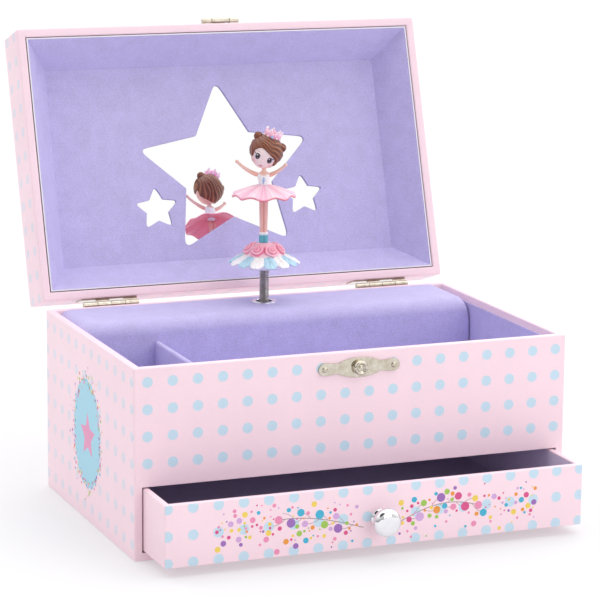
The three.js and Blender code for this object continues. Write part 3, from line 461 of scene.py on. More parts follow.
def map_paper(piece, start, plain, back=upright):
    """Unrolls each face to the plane that it faces most, in millimetres from "start".
    "back" brings points to the piece's own upright frame; "plain" marks faces without dots."""
    mesh = piece.data
    corner_vertex = np.zeros(len(mesh.loops), np.int32)
    mesh.loops.foreach_get("vertex_index", corner_vertex)
    points = back(points_of(mesh))
    normals = np.zeros(len(mesh.polygons) * 3)
    centres = np.zeros(len(mesh.polygons) * 3)
    counts = np.zeros(len(mesh.polygons), np.int32)
    mesh.polygons.foreach_get("normal", normals)
    mesh.polygons.foreach_get("center", centres)
    mesh.polygons.foreach_get("loop_total", counts)
    centres = centres.reshape(-1, 3) / MM
    ahead = back(centres + normals.reshape(-1, 3))
    centres = back(centres)
    normals = ahead - centres
    facing = np.abs(normals).argmax(axis=1)
    along = np.where(facing == 0, 1, 0)
    up = np.where(facing == 2, 1, 2)
    corner_along, corner_up = np.repeat(along, counts), np.repeat(up, counts)
    corner_points = points[corner_vertex]
    index = np.arange(len(corner_points))
    u = corner_points[index, corner_along] - start[0]
    v = corner_points[index, corner_up] - start[1]
    layer = mesh.uv_layers.new(name="paper")
    layer.data.foreach_set("uv", np.stack([u, v], axis=-1).ravel())
    printed = 1.0 - plain(centres, normals)
    mark = mesh.attributes.new("printed", "FLOAT", "FACE")
    mark.data.foreach_set("value", printed.astype(np.float32))


# %% Paper material
def paper(name, ground, dots):
    """Satin printed paper: ground colour, dots from the paper map, faint fibre and mottle, and dots faded
    towards the ground where seen edge on as painted glare.
    """
    material, tree, surface = shader(
        name, Roughness=0.5, Coat_Weight=0.12, Coat_Roughness=0.35, Specular_IOR_Level=0.4)
    where = tree.place()
    spread = tree.add("ShaderNodeUVMap", uv_map="paper").outputs["UV"]
    cell = tree.vector("DIVIDE", spread, (*DOT_PITCH, 1.0))
    near = tree.vector("SUBTRACT", cell, tree.vector("FLOOR", tree.vector("ADD", cell, (0.5, 0.5, 0.0))))
    reach = tree.vector("LENGTH", tree.vector("MULTIPLY", near, (*DOT_PITCH, 0.0)))
    dot = tree.remap(reach, DOT_RADIUS - 0.12, DOT_RADIUS + 0.12, 1.0, 0.0)
    printed = tree.add("ShaderNodeAttribute", attribute_name="printed").outputs["Fac"]
    ink = tree.math("MULTIPLY", dot, printed)
    # Painted reflection: the dots fade towards the pink ground where a face is seen edge on, standing in for
    # the satin varnish's glare.
    painted_glare_facing = tree.add("ShaderNodeLayerWeight", {"Blend": 0.5}).outputs["Facing"]
    ink = tree.math("MULTIPLY", ink, tree.remap(painted_glare_facing, 0.3, 0.65, 1.0, 0.5))
    tone = effect(tree, mottle_group, Vector=where, Size=30.0, Low=0.965, High=1.0)["Value"]
    fleck = effect(tree, mottle_group, Vector=where, Size=0.7, Low=0.975, High=1.01)["Value"]
    colour = tree.mix(ink, tint(ground), tint(dots))
    colour = tree.mix(1.0, colour, tree.math("MULTIPLY", tone, fleck), "MULTIPLY")
    link(tree, colour, surface, "Base Color")
    grain = effect(tree, grain_group, Vector=where, Size=0.5, Coarse=0.5)["Height"]
    link(tree, tree.remap(grain, 0.3, 1.2, 0.42, 0.56), surface, "Roughness")
    roughen(tree, surface, grain, 0.12, 0.00012)
    return material


PINK_PAPER = paper("pink dotted paper", "FBDEE8", "C6DEEE")
print("paper ready, dots", DOT_PITCH, "mm apart")

# %% [markdown]
# ## Flock
#
# Flock is a felt of very short fibres standing in glue. It has no shine, it looks lighter where
# it is seen edge on, and its tone drifts where the fibres lean. Sheen gives the light edge, and
# two sizes of noise give the drift and the fibre.


# %% Flock material
def flock(name, colour):
    """Short felt in one colour."""
    material, tree, surface = shader(
        name, Roughness=0.95, Specular_IOR_Level=0.12, Sheen_Weight=0.6, Sheen_Roughness=0.4)
    surface.inputs["Sheen Tint"].default_value = tint("E6E0FA")
    where = tree.place()
    lean = effect(tree, mottle_group, Vector=where, Size=9.0, Low=0.93, High=1.03)["Value"]
    fibre = effect(tree, mottle_group, Vector=where, Size=0.5, Low=0.8, High=1.12)["Value"]
    tone = tree.math("MULTIPLY", lean, fibre)
    link(tree, tree.mix(1.0, tint(colour), tone, "MULTIPLY"), surface, "Base Color")
    grain = effect(tree, grain_group, Vector=where, Size=0.6, Coarse=0.6)["Height"]
    roughen(tree, surface, grain, 0.55, 0.0004)
    return material


LAVENDER = flock("lavender flock", "CBC3EE")
print("flock ready")


# %% [markdown]
# ## Card, violet paper and mirror
#
# The lining boards show their white card core at the edges. The drawer is lined with pale violet
# paper. The mirror is silvered plastic sheet: it is perfectly shiny, and it is not quite true, so
# what it shows lies a little off. A normal map of one constant colour tilts its reflections.


# %% Card, violet paper and mirror materials
def matt(name, colour, roughness=0.85, low=0.94):
    """Uncoated card or paper in one colour; "low" is how dark its mottle gets."""
    material, tree, surface = shader(name, Roughness=roughness, Specular_IOR_Level=0.25)
    where = tree.place()
    tone = effect(tree, mottle_group, Vector=where, Size=6.0, Low=low, High=1.0)["Value"]
    link(tree, tree.mix(1.0, tint(colour), tone, "MULTIPLY"), surface, "Base Color")
    grain = effect(tree, grain_group, Vector=where, Size=0.4, Coarse=0.4)["Height"]
    roughen(tree, surface, grain, 0.2, 0.0002)
    return material


WHITE_CARD = matt("white card edge", "F4F0F6")
VIOLET = matt("violet paper", "D9CFE6", 0.75, 0.95)


def mirror_material(sideways, upwards):
    """Silvered sheet whose reflections lean by two small slopes, given as tangents."""
    material, tree, surface = shader("mirror", Metallic=1.0, Roughness=0.0)
    surface.inputs["Base Color"].default_value = (1.0, 1.0, 1.0, 1.0)
    straight = 1.0 / math.sqrt(1 + sideways ** 2 + upwards ** 2)
    lean = [0.5 + 0.5 * part * straight for part in (sideways, upwards, 1.0)]
    tilt = tree.add("ShaderNodeNormalMap", {"Color": (*lean, 1.0)}, uv_map="sheet", space="TANGENT")
    link(tree, tilt.outputs[0], surface, "Normal")
    return material


print("card, violet paper and mirror ready")

# %% [markdown]
# ## Metals
#
# The latch, the hinges and the key are nickel plate, brushed and a little yellow with age. The
# knob and the ring round the spindle are bright chrome. The spring and the comb are oiled steel,
# and the movement is brass. One recipe makes them all from the brushed metal effect.


# %% Metal materials
def metal(name, colour, tarnish, roughness, brushing=0.15, bump_strength=0.08):
    """Brushed metal with stains of a second colour; "brushing" is the scratches' size in mm."""
    material, tree, surface = shader(name, Metallic=1.0, Roughness=roughness)
    where = tree.place()
    marks = effect(tree, brush_group, Vector=where, Size=brushing)
    link(tree, tree.mix(marks["Tarnish"], tint(colour), tint(tarnish)), surface, "Base Color")
    rough = tree.remap(marks["Height"], 0.2, 0.8, roughness * 0.75, roughness * 1.3)
    link(tree, rough, surface, "Roughness")
    roughen(tree, surface, marks["Height"], bump_strength, 0.00005)
    return material


NICKEL = metal("nickel", "D3CDBF", "BBB19F", 0.15)
CHROME = metal("chrome", "EFEFF1", "E6E6EA", 0.07, 0.3, 0.02)
STEEL = metal("steel", "C4BFB9", "A59F98", 0.28)
BRASS = metal("brass", "D9B56A", "B9924A", 0.3)


def plastic(name, colour, roughness=0.4):
    """Plain moulded plastic in one colour with a faint mottle."""
    material, tree, surface = shader(name, Roughness=roughness, Specular_IOR_Level=0.5)
    where = tree.place()
    tone = effect(tree, mottle_group, Vector=where, Size=4.0, Low=0.97, High=1.0)["Value"]
    link(tree, tree.mix(1.0, tint(colour), tone, "MULTIPLY"), surface, "Base Color")
    return material


def painted(name, roughness=0.38):
    """Moulded plastic painted by hand: its colours are stored at the points as "paint"."""
    material, tree, surface = shader(
        name, Roughness=roughness, Specular_IOR_Level=0.5, Subsurface_Weight=0.08,
        Subsurface_Scale=0.002, Coat_Weight=0.15, Coat_Roughness=0.2)
    where = tree.place()
    colours = tree.add("ShaderNodeAttribute", attribute_name="paint").outputs["Color"]
    tone = effect(tree, mottle_group, Vector=where, Size=1.2, Low=0.95, High=1.02)["Value"]
    link(tree, tree.mix(1.0, colours, tone, "MULTIPLY"), surface, "Base Color")
    grain = effect(tree, grain_group, Vector=where, Size=0.5, Coarse=0.6)["Height"]
    roughen(tree, surface, grain, 0.15, 0.00012)
    return material


FAN_PLASTIC = plastic("fan plastic", "E9E4DA")
PAINTED = painted("painted plastic")
print("metals and plastics ready")

# %% [markdown]
# ## The case
#
# Board walls wrapped in one sheet of paper show no joints, only softly rounded edges. So the walls
# above the drawer are one profile carried round the case, the three walls beside the drawer are
# one outline carried up, and the base is a slab with a rounded lower edge.


# %% Case
EDGE = 0.8
CORNER = 1.1
INNER_CORNER = 0.4
PLAIN_BAND = 5.5
DOT_START_X = -112.72
DOT_START_Z = 50.2


def plain_rims(centres, normals):
    """1 where the paper has no dots: on rims and along the front panel's lower edge."""
    rim = np.abs(normals[:, 2]) > 0.5
    band = (normals[:, 1] < -0.5) & (centres[:, 2] < BAY_TOP + PLAIN_BAND)
    return (rim | band).astype(float)


wall_profile = [(0, BAY_TOP, CORNER), (0, BAY_TOP + PLAIN_BAND, CORNER)]
wall_profile += bend(EDGE, RIM - EDGE, EDGE, 180, 90, CORNER)
wall_profile += bend(WALL - EDGE, RIM - EDGE, EDGE, 90, 0, INNER_CORNER)
wall_profile += [(WALL, BAY_TOP, INNER_CORNER)]
case_walls = framed("case_walls", HALF_X, HALF_Y, wall_profile, [PINK_PAPER])
map_paper(case_walls, start=(DOT_START_X, DOT_START_Z), plain=plain_rims)
place_on(sharpen(case_walls), "case", "pink_dotted_paper", "front_panel")

inner_x, inner_y = HALF_X - WALL, HALF_Y - WALL
outer = rounded_rectangle(HALF_X, HALF_Y, CORNER)
back_right, back_left, front_left, front_right = np.split(outer, 4)
bay_outline = np.vstack([
    front_right, back_right, back_left, front_left,
    [[-inner_x, -HALF_Y], [-inner_x, inner_y], [inner_x, inner_y], [inner_x, -HALF_Y]]])
bay_walls = prism("drawer_bay_walls", bay_outline, BASE_TOP, BAY_TOP, [PINK_PAPER])
map_paper(bay_walls, start=(DOT_START_X, DOT_START_Z), plain=plain_rims)
place_on(sharpen(bay_walls), "case", "pink_dotted_paper", "left_wall", "right_wall", "back_wall")

base_profile = [(HALF_Y, 0, 0)] + bend(EDGE, EDGE, EDGE, 270, 180, CORNER)
base_profile += [(0, BASE_TOP, CORNER), (HALF_Y, BASE_TOP, 0)]
case_base = framed("case_base", HALF_X, HALF_Y, base_profile, [PINK_PAPER], wrap=False)
map_paper(case_base, start=(DOT_START_X, DOT_START_Z), plain=plain_rims)
place_on(sharpen(case_base), "case", "pink_dotted_paper", "base_board")


# %% Plain model parts that keep their own shape
def dress(node, material):
    """Gives a part of the model a material."""
    slots = frame["nodes"][node].data.materials
    slots.clear()
    slots.append(material)


DRESSING = {
    LAVENDER: ("floor_lining", "left_lining", "right_lining", "front_lining", "divider", "star_panel"),
    VIOLET: ("drawer_bay_shelf",),
    NICKEL: ("hinge_pin_left", "hinge_pin_right", "hasp_pin"),
    STEEL: ("mainspring", "comb", "knob_screw"),
    BRASS: ("movement_bedplate", "mainspring_barrel", "movement_bridge", "spindle_bearing",
            "pinned_cylinder", "spindle", "crown_wheel_and_arbor"),
    FAN_PLASTIC: ("governor_fan",),
}
for material, nodes in DRESSING.items():
    for node in nodes:
        dress(node, material)
print("model parts dressed:", sum(len(nodes) for nodes in DRESSING.values()))

# %% [markdown]
# ## The movement cover
#
# The cover hides the clockwork. It is a bent board covered with flock: its section runs up the
# front, round a wide curve and back along the top, and at both ends the top dips to the walls in
# another curve. Each section is the same, only lower, so the whole cover is one grid.

# %% Movement cover
COVER_ROUND = 8.0
COVER_END_ROUND = 6.5
COVER_BOARD = 3.0
BUSH_HOLE = 5.4


def cover_section(drop):
    """The closed Y-Z outline of the cover whose top lies "drop" below its full height."""
    top = cover_high[2] - drop
    angle = np.linspace(math.pi, math.pi / 2, 13)
    centre = np.array([cover_low[1] + COVER_ROUND, top - COVER_ROUND])
    outer_arc = centre + COVER_ROUND * np.stack([np.cos(angle), np.sin(angle)], axis=-1)
    inner_radius = COVER_ROUND - COVER_BOARD
    inner_arc = centre + inner_radius * np.stack([np.cos(angle), np.sin(angle)], axis=-1)
    outside = np.vstack([[[cover_low[1], cover_low[2]]], outer_arc, [[cover_high[1], top]]])
    inside = np.vstack([
        [[cover_low[1] + COVER_BOARD, cover_low[2]]], inner_arc, [[cover_high[1], top - COVER_BOARD]]])
    return np.vstack([outside, inside[::-1]])


end_turn = np.linspace(0, math.pi / 2, 8)
end_x = cover_high[0] - COVER_END_ROUND + COVER_END_ROUND * np.sin(end_turn)
end_drop = COVER_END_ROUND * (1 - np.cos(end_turn))
stations = np.concatenate([-end_x[::-1], end_x])
drops = np.concatenate([end_drop[::-1], end_drop])
sections = np.array([
    np.insert(cover_section(drop), 0, x, axis=1) for x, drop in zip(stations, drops)])
count = sections.shape[1]
cover_faces = grid_faces(len(stations), count, False, True).tolist()
half_count = count // 2
end_strip = [[i, i + 1, count - 2 - i, count - 1 - i] for i in range(half_count - 1)]
last = (len(stations) - 1) * count
cover_faces += end_strip + [[last + corner for corner in face] for face in end_strip]
cover = new_piece("flocked_cover", sections.reshape(-1, 3), cover_faces, [LAVENDER])


def drill(piece, x, y, low, high, radius):
    """Cuts a round upright hole through a piece."""
    ring = np.linspace(0, 2 * math.pi, 33)[:-1]
    outline = np.stack([x + radius * np.cos(ring), y + radius * np.sin(ring)], axis=-1)
    tool = prism("drill", outline, low, high, [])
    cut = piece.modifiers.new("hole", "BOOLEAN")
    cut.object = tool
    cut.operation = "DIFFERENCE"
    cut.solver = "EXACT"
    graph = bpy.context.evaluated_depsgraph_get()
    result = bpy.data.meshes.new_from_object(piece.evaluated_get(graph))
    piece.modifiers.clear()
    piece.data = result
    bpy.data.objects.remove(tool)


BUSH_LOW, BUSH_HIGH = span("spindle_bush")
drill(cover, SPINDLE[0], SPINDLE[1], BUSH_LOW[2] - 2, RIM + 5, BUSH_HOLE)
place_on(sharpen(cover, 50), "case", "lavender_flock", "movement_cover")

# %% [markdown]
# ## The lid
#
# The lid is a shallow tray of the same boards. Its outside is one profile: from the middle of the
# inner side of the top, down the wall, round the rim, up the outside and back to the middle of
# the top. Sloping flocked boards line it, with the white card core showing along their rim edge
# and a fine dark gap to the wall.


# %% Lid
LID_BOARD = 3.0
INNER_FOLD = 0.3
lid_profile = [(HALF_Y, LID_TOP - LID_BOARD, 0), (LID_WALL, LID_TOP - LID_BOARD, INNER_FOLD),
               (LID_WALL, LID_RIM + EDGE, INNER_FOLD)]
lid_profile += bend(LID_WALL - EDGE, LID_RIM + EDGE, EDGE, 0, -90, INNER_CORNER)[1:]
lid_profile += bend(EDGE, LID_RIM + EDGE, EDGE, 270, 180, CORNER)
lid_profile += bend(CORNER, LID_TOP - CORNER, CORNER, 180, 90, CORNER)
lid_profile += [(HALF_Y, LID_TOP, 0)]
lid_shell = framed("lid_shell", HALF_X, HALF_Y, lid_profile, [PINK_PAPER], wrap=False, move=opened)


def plain_lid(centres, normals):
    """1 on the rim and inside the lid, where the paper is plain."""
    inside = (np.abs(centres[:, 0]) < HALF_X - 3) & (np.abs(centres[:, 1]) < HALF_Y - 3)
    plain = (normals[:, 2] < -0.5) | inside
    return (plain & (centres[:, 2] < LID_TOP - 0.5)).astype(float)


map_paper(lid_shell, start=(DOT_START_X, LID_RIM + 7.0), plain=plain_lid, back=closed)
place_on(sharpen(lid_shell), "lid", "pink_dotted_paper",
         "lid_top_panel", "lid_left_wall", "lid_right_wall", "lid_front_wall", "lid_back_wall")

GAP = 0.45
CARD = 0.7
slope_rim = LID_WALL + GAP
slope_deep_x = HALF_X - PANEL_X
lining_profile = [
    (slope_rim, LID_RIM + 0.5, 0.2),
    (slope_rim + CARD, LID_RIM + 0.4, 0.2),
    (slope_deep_x + 0.4, PANEL_Z - 0.1, 0.2),
    (slope_deep_x - 0.9, PANEL_Z + 0.6, 0.2),
]
slopes = framed("lid_slopes", HALF_X, HALF_Y, lining_profile, [LAVENDER, WHITE_CARD],
                bands=[1, 0, 0, 0], move=opened)
place_on(sharpen(slopes, 20), "lid", "lavender_flock",
         "lid_lining_front", "lid_lining_right", "lid_lining_back", "lid_lining_left")

mirror_low, mirror_high = closed_span("mirror")
sheet_grid = np.array([
    [[x, y, z] for x, y in ((mirror_low[0], mirror_low[1]), (mirror_high[0], mirror_low[1]),
                            (mirror_high[0], mirror_high[1]), (mirror_low[0], mirror_high[1]))]
    for z in (mirror_low[2], mirror_high[2])])
sheet_faces = [[0, 1, 2, 3], [4, 5, 6, 7], [0, 1, 5, 4], [1, 2, 6, 5], [2, 3, 7, 6], [3, 0, 4, 7]]
MIRROR_LEAN = (-0.1, 0.0)
mirror = new_piece("mirror_sheet", opened(sheet_grid.reshape(-1, 3)), sheet_faces,
                   [mirror_material(*MIRROR_LEAN)], smooth=False)
layer = mirror.data.uv_layers.new(name="sheet")
corner_vertex = np.zeros(len(mirror.data.loops), np.int32)
mirror.data.loops.foreach_get("vertex_index", corner_vertex)
mirror_points = closed(points_of(mirror.data))[corner_vertex]
layer.data.foreach_set("uv", (mirror_points[:, :2] * [1, -1] / 200).ravel())
place_on(mirror, "lid", "mirror", "mirror")

# %% [markdown]
# ## The drawer
#
# The drawer is a tray: pink paper outside, a pale edge, violet paper inside. One profile runs from
# the middle of the underside, up the outside, over the edge, down the inside and to the middle
# of the floor.

# %% Drawer
tray_x = (tray_high[0] - tray_low[0]) / 2
tray_y = (tray_back - tray_low[1]) / 2
tray_centre = ((tray_high[0] + tray_low[0]) / 2, (tray_back + tray_low[1]) / 2)
DRAWER_BOARD = 3.4
DRAWER_DOT_START = (-113.42, 7.4)
inside_floor = span("drawer_floor_lining")[1][2]
tray_profile = [(tray_y, tray_low[2], 0)] + bend(EDGE, tray_low[2] + EDGE, EDGE, 270, 180, CORNER)
tray_profile += bend(EDGE, tray_high[2] - EDGE, EDGE, 180, 90, CORNER)
tray_profile += bend(DRAWER_BOARD - EDGE, tray_high[2] - EDGE, EDGE, 90, 0, INNER_CORNER)
tray_profile += [(DRAWER_BOARD, inside_floor, INNER_FOLD), (tray_y, inside_floor, 0)]
LINED_BANDS = [1, 1, 1]
tray_bands = [0] * (len(tray_profile) - 1 - len(LINED_BANDS)) + LINED_BANDS
tray = framed("drawer_tray", tray_x, tray_y, tray_profile, [PINK_PAPER, VIOLET],
              bands=tray_bands, wrap=False, centre=tray_centre)


def plain_tray(centres, normals):
    """1 everywhere on the drawer but on its front, the only side printed with dots."""
    return ((normals[:, 1] > -0.5) | (centres[:, 1] > tray_low[1] + 5)).astype(float)


map_paper(tray, start=DRAWER_DOT_START, plain=plain_tray)
place_on(sharpen(tray), "drawer", "pink_dotted_paper", "drawer_front", "drawer_left_side",
         "drawer_right_side", "drawer_back", "drawer_bottom", "drawer_floor_lining")

# %% [markdown]
# ## Pressed and turned metal
#
# Pressed plates have softened edges that catch the light. A copy of the model's own plate gets
# its doubled corner points merged and a narrow bevel. The knob, the boss and the ring round the
# spindle are turned on a lathe: one profile of (radius, height) carried round an axis.


# %% Softened plates
def softened(node, name, body, width):
    """A copy of a nickel model part with its edges bevelled by a width in millimetres."""
    mesh = frame["nodes"][node].data.copy()
    mesh.name = name
    finish_mesh(mesh, merge=2e-5)
    mesh.materials.clear()
    mesh.materials.append(NICKEL)
    piece = add_object(name, mesh)
    bevel = piece.modifiers.new("soft edges", "BEVEL")
    bevel.width = width * MM
    bevel.segments = 2
    bevel.limit_method = "ANGLE"
    bevel.angle_limit = math.radians(40)
    mesh.polygons.foreach_set("use_smooth", np.ones(len(mesh.polygons), bool))
    sharpen(piece, 30)
    place_on(piece, body, "nickel", node)


softened("latch_plate", "latch_plate_soft", "case", 0.2)
for side in ("left", "right"):
    softened(f"hinge_lower_leaf_{side}", f"lower_leaf_{side}", "case", 0.12)
    softened(f"hinge_upper_leaf_{side}", f"upper_leaf_{side}", "lid", 0.12)
softened("hasp_plate", "hasp_plate_soft", "lid", 0.12)
softened("hasp_tongue", "hasp_tongue_soft", "hasp", 0.2)
softened("winding_key", "winding_key_soft", "winding", 0.4)


# %% Turned pieces
def lathe(name, profile, material, place, axis="Z", steps=64):
    """A closed profile of (radius, height) points carried round an axis through "place"."""
    profile = np.asarray(profile, float)
    angle = np.linspace(0, 2 * math.pi, steps, endpoint=False)
    radius, height = profile[:, :1], profile[:, 1:]
    x, y = radius * np.cos(angle), radius * np.sin(angle)
    z = np.broadcast_to(height, x.shape)
    points = np.stack([x, y, z] if axis == "Z" else [x, -z, y], axis=-1)
    wrap = profile[0][0] > 0 or profile[-1][0] > 0
    faces = grid_faces(len(profile), steps, wrap, True)
    piece = new_piece(name, points.reshape(-1, 3) + np.asarray(place), faces, [material])
    return sharpen(piece, 40)


def rounded(corners, radius, steps=4):
    """Rounds every inner corner of an open profile with a small quadratic curve."""
    corners = np.asarray(corners, float)
    result = [corners[0]]
    for before, corner, after in zip(corners[:-2], corners[1:-1], corners[2:]):
        reach = min(radius, np.linalg.norm(before - corner) / 2, np.linalg.norm(after - corner) / 2)
        start = corner + (before - corner) / max(np.linalg.norm(before - corner), 1e-9) * reach
        end = corner + (after - corner) / max(np.linalg.norm(after - corner), 1e-9) * reach
        for t in np.linspace(0, 1, steps):
            result.append((1 - t) ** 2 * start + 2 * t * (1 - t) * corner + t * t * end)
    result.append(corners[-1])
    return np.array(result)


knob_low, knob_high = span("drawer_knob")
KNOB_R = (knob_high[0] - knob_low[0]) / 2
KNOB_OUT = knob_high[1] - knob_low[1]
knob_place = ((knob_low[0] + knob_high[0]) / 2, tray_low[1], (knob_low[2] + knob_high[2]) / 2)
knob_profile = rounded([
    (0, 0.05), (KNOB_R * 0.7, 0.05), (KNOB_R * 0.7, 1.0), (KNOB_R * 0.5, 2.0), (KNOB_R * 0.47, 4.6),
    (KNOB_R * 0.85, 6.2), (KNOB_R - 0.02, 7.6), (KNOB_R - 0.02, KNOB_OUT - 2.3),
    (KNOB_R * 0.8, KNOB_OUT - 0.7), (KNOB_R * 0.5, KNOB_OUT - 0.15), (0, KNOB_OUT - 0.02)], 0.7)
knob = lathe("chrome_knob", knob_profile, CHROME, knob_place, axis="Y")
place_on(knob, "drawer", "chrome", "drawer_knob")

boss_low, boss_high = span("latch_boss")
BOSS_R = (boss_high[0] - boss_low[0]) / 2
boss_place = ((boss_low[0] + boss_high[0]) / 2, boss_high[1], (boss_low[2] + boss_high[2]) / 2)
BOSS_OUT = boss_high[1] - boss_low[1]
boss_profile = rounded([
    (0, 0.05), (BOSS_R - 0.02, 0.05), (BOSS_R - 0.02, BOSS_OUT - 1.0), (BOSS_R * 0.8, BOSS_OUT - 0.02),
    (BOSS_R * 0.62, BOSS_OUT - 0.05), (BOSS_R * 0.42, BOSS_OUT - 1.1), (BOSS_R * 0.2, BOSS_OUT - 0.5),
    (0, BOSS_OUT - 0.45)], 0.4)
boss = lathe("catch_boss", boss_profile, NICKEL, boss_place, axis="Y")
place_on(boss, "case", "nickel", "latch_boss")

BUSH_R = (BUSH_HIGH[0] - BUSH_LOW[0]) / 2
BUSH_BORE = BUSH_R - 2.7
BUSH_NECK = BUSH_R - 1.7
bush_profile = rounded([
    (BUSH_BORE, BUSH_LOW[2]), (BUSH_NECK, BUSH_LOW[2]), (BUSH_NECK, RIM + 0.05),
    (BUSH_R - 0.02, RIM + 0.05), (BUSH_R - 0.1, RIM + 0.45), (BUSH_R - 0.9, BUSH_HIGH[2] - 0.02),
    (BUSH_BORE + 0.5, BUSH_HIGH[2] - 0.02), (BUSH_BORE, BUSH_HIGH[2] - 0.5)], 0.3)
bush = lathe("spindle_ring", bush_profile, CHROME, (SPINDLE[0], SPINDLE[1], 0))
place_on(bush, "case", "chrome", "spindle_bush")

# %% [markdown]
# ## The dancer's own frame
#
# The figure stands on the spindle and is turned a little, so it is drawn facing ahead in its own
# frame (x to the side, -y ahead, z up from the flocked cover) and then turned and moved there.
# Colours on the moulded plastic were brushed on by hand, so they are stored at the points.


# %% Figure frame and paint
FIGURE_TURN = math.radians(-22)
HEAD = (0.7, 0.0, 84.6)
HEAD_TILT = math.radians(21)


def figure_frame(points):
    """From the figure's own frame to the model's, in millimetres."""
    x, y, z = np.asarray(points, float).reshape(-1, 3).T
    c, s = math.cos(FIGURE_TURN), math.sin(FIGURE_TURN)
    return np.stack([SPINDLE[0] + c * x - s * y, SPINDLE[1] + s * x + c * y, RIM + z], axis=1)


def figure_local(points):
    """From the model's frame back to the figure's own."""
    x, y, z = (np.asarray(points) - (SPINDLE[0], SPINDLE[1], RIM)).T
    c, s = math.cos(FIGURE_TURN), math.sin(FIGURE_TURN)
    return np.stack([c * x + s * y, -s * x + c * y, z], axis=1)


def head_frame(points):
    """From the head's own frame to the model's: tipped to one side, then set on the neck."""
    x, y, z = np.asarray(points, float).reshape(-1, 3).T
    c, s = math.cos(HEAD_TILT), math.sin(HEAD_TILT)
    return figure_frame(np.stack([HEAD[0] + c * x + s * z, HEAD[1] + y, HEAD[2] - s * x + c * z], axis=1))


def head_local(points):
    """From the model's frame back to the head's own."""
    x, y, z = (figure_local(points) - HEAD).T
    c, s = math.cos(HEAD_TILT), math.sin(HEAD_TILT)
    return np.stack([c * x - s * z, y, s * x + c * z], axis=1)


def smooth(value, width=1.0):
    """0 below zero, 1 above width, and a soft step between."""
    t = np.clip(np.asarray(value) / width, 0, 1)
    return t * t * (3 - 2 * t)


def colour(hex_colour):
    """A printed colour as three linear values, for painting points."""
    return np.array(tint(hex_colour))[:3]


def blended(first, second, amount):
    """Mixes two colours, one amount per point."""
    return first + (second - first) * np.asarray(amount)[:, None]


def paint(piece, colours_at, back=figure_local):
    """Stores a colour at every point, worked out from its place in the piece's own frame."""
    colours = np.ones((len(piece.data.vertices), 4))
    colours[:, :3] = np.clip(colours_at(back(points_of(piece.data))), 0, 1)
    layer = piece.data.attributes.new("paint", "FLOAT_COLOR", "POINT")
    layer.data.foreach_set("color", colours.astype(np.float32).ravel())


def skin_of(name, surface, move=figure_frame, wrap_rows=False):
    """A grid of points (rows, columns, 3) closed round its columns becomes a painted piece."""
    faces = grid_faces(surface.shape[0], surface.shape[1], wrap_rows, True)
    return new_piece(name, move(surface), faces, [PAINTED])


def joined(name, surfaces, material, move=figure_frame):
    """Several closed surfaces on grids of the same size as one piece."""
    rows, columns = surfaces[0].shape[:2]
    one = grid_faces(rows, columns, False, True)
    faces = np.concatenate([one + i * rows * columns for i in range(len(surfaces))])
    return new_piece(name, np.concatenate([move(surface) for surface in surfaces]), faces, [material])


def limb(path, radii, steps, flatten):
    """Rings of the given radii carried along a path and closed to a point at both ends."""
    path, radii = np.asarray(path, float), np.asarray(radii, float)
    along = np.gradient(path, axis=0)
    along /= np.linalg.norm(along, axis=1, keepdims=True)
    side = np.cross(along, (0, 1, 0))
    side /= np.linalg.norm(side, axis=1, keepdims=True)
    other = np.cross(side, along)
    angle = np.linspace(0, 2 * math.pi, steps, endpoint=False)
    ring = (side[:, None] * np.cos(angle)[None, :, None]
            + other[:, None] * flatten * np.sin(angle)[None, :, None])
    return path[:, None] + ring * radii[:, None, None]


def globe(rows, columns, front=0.0):
    """Directions all round from the lowest up; the columns crowd towards the front."""
    turn = np.linspace(-math.pi, math.pi, columns, endpoint=False)
    turn = turn - front * np.sin(turn)
    lift = np.linspace(-math.pi / 2, math.pi / 2, rows)
    turn, lift = np.meshgrid(turn, lift)
    return np.stack([np.sin(turn) * np.cos(lift), -np.cos(turn) * np.cos(lift), np.sin(lift)], -1)


print("figure turned", round(math.degrees(FIGURE_TURN)), "degrees, head centre", HEAD)

# %% [markdown]
# ## Head and face
#
# The head is one moulded ball, a little narrower and longer towards the chin. Its face is painted
# on: two dark eyes with lashes, a blush on each cheek and a small mouth. The columns crowd towards
# the front so that the painted lines stay fine.

# %% Head
SKIN, BLUSH = colour("FBE6E3"), colour("F2A6A4")
# The second skin colour is painted shade for the sides and back of the head.
SKIN_PAINTED_SHADE = colour("F1BFB2")
LASHES = colour("2A1B1E")
EYE_X, EYE_Z = 3.45, -3.5
ball = globe(230, 330, 0.6)
chin = smooth(-ball[..., 2])
head_surface = ball * np.array([8.5, 8.2, 8.5])
head_surface[..., 0] *= 1 - 0.1 * chin
head_surface[..., 1] *= 1 - 0.06 * chin
head_surface[..., 2] -= 1.5 * chin
head_surface[..., 1] -= 0.35 * np.exp(-((head_surface[..., 0] / 0.5) ** 2)
                                      - ((head_surface[..., 2] + 5.4) / 0.5) ** 2)


def oval(x, z, centre_x, centre_z, half_x, half_z, edge=0.25):
    """1 inside an oval, 0 outside, with a soft edge."""
    reach = np.sqrt(((x - centre_x) / half_x) ** 2 + ((z - centre_z) / half_z) ** 2)
    return 1 - smooth(reach - 1 + edge / 2, edge)


def stroke(x, z, points, width):
    """1 along a painted line through the given points, thinner towards its ends."""
    points = np.asarray(points, float)
    t = np.linspace(0, 1, 24)[:, None]
    curve = (1 - t) ** 2 * points[0] + 2 * t * (1 - t) * points[1] + t * t * points[2]
    widths = width * (0.45 + 0.55 * np.sin(math.pi * t[:, 0]))
    away = np.hypot(x[:, None] - curve[None, :, 0], z[:, None] - curve[None, :, 1]) / widths
    return 1 - smooth(away.min(axis=1) - 0.75, 0.5)


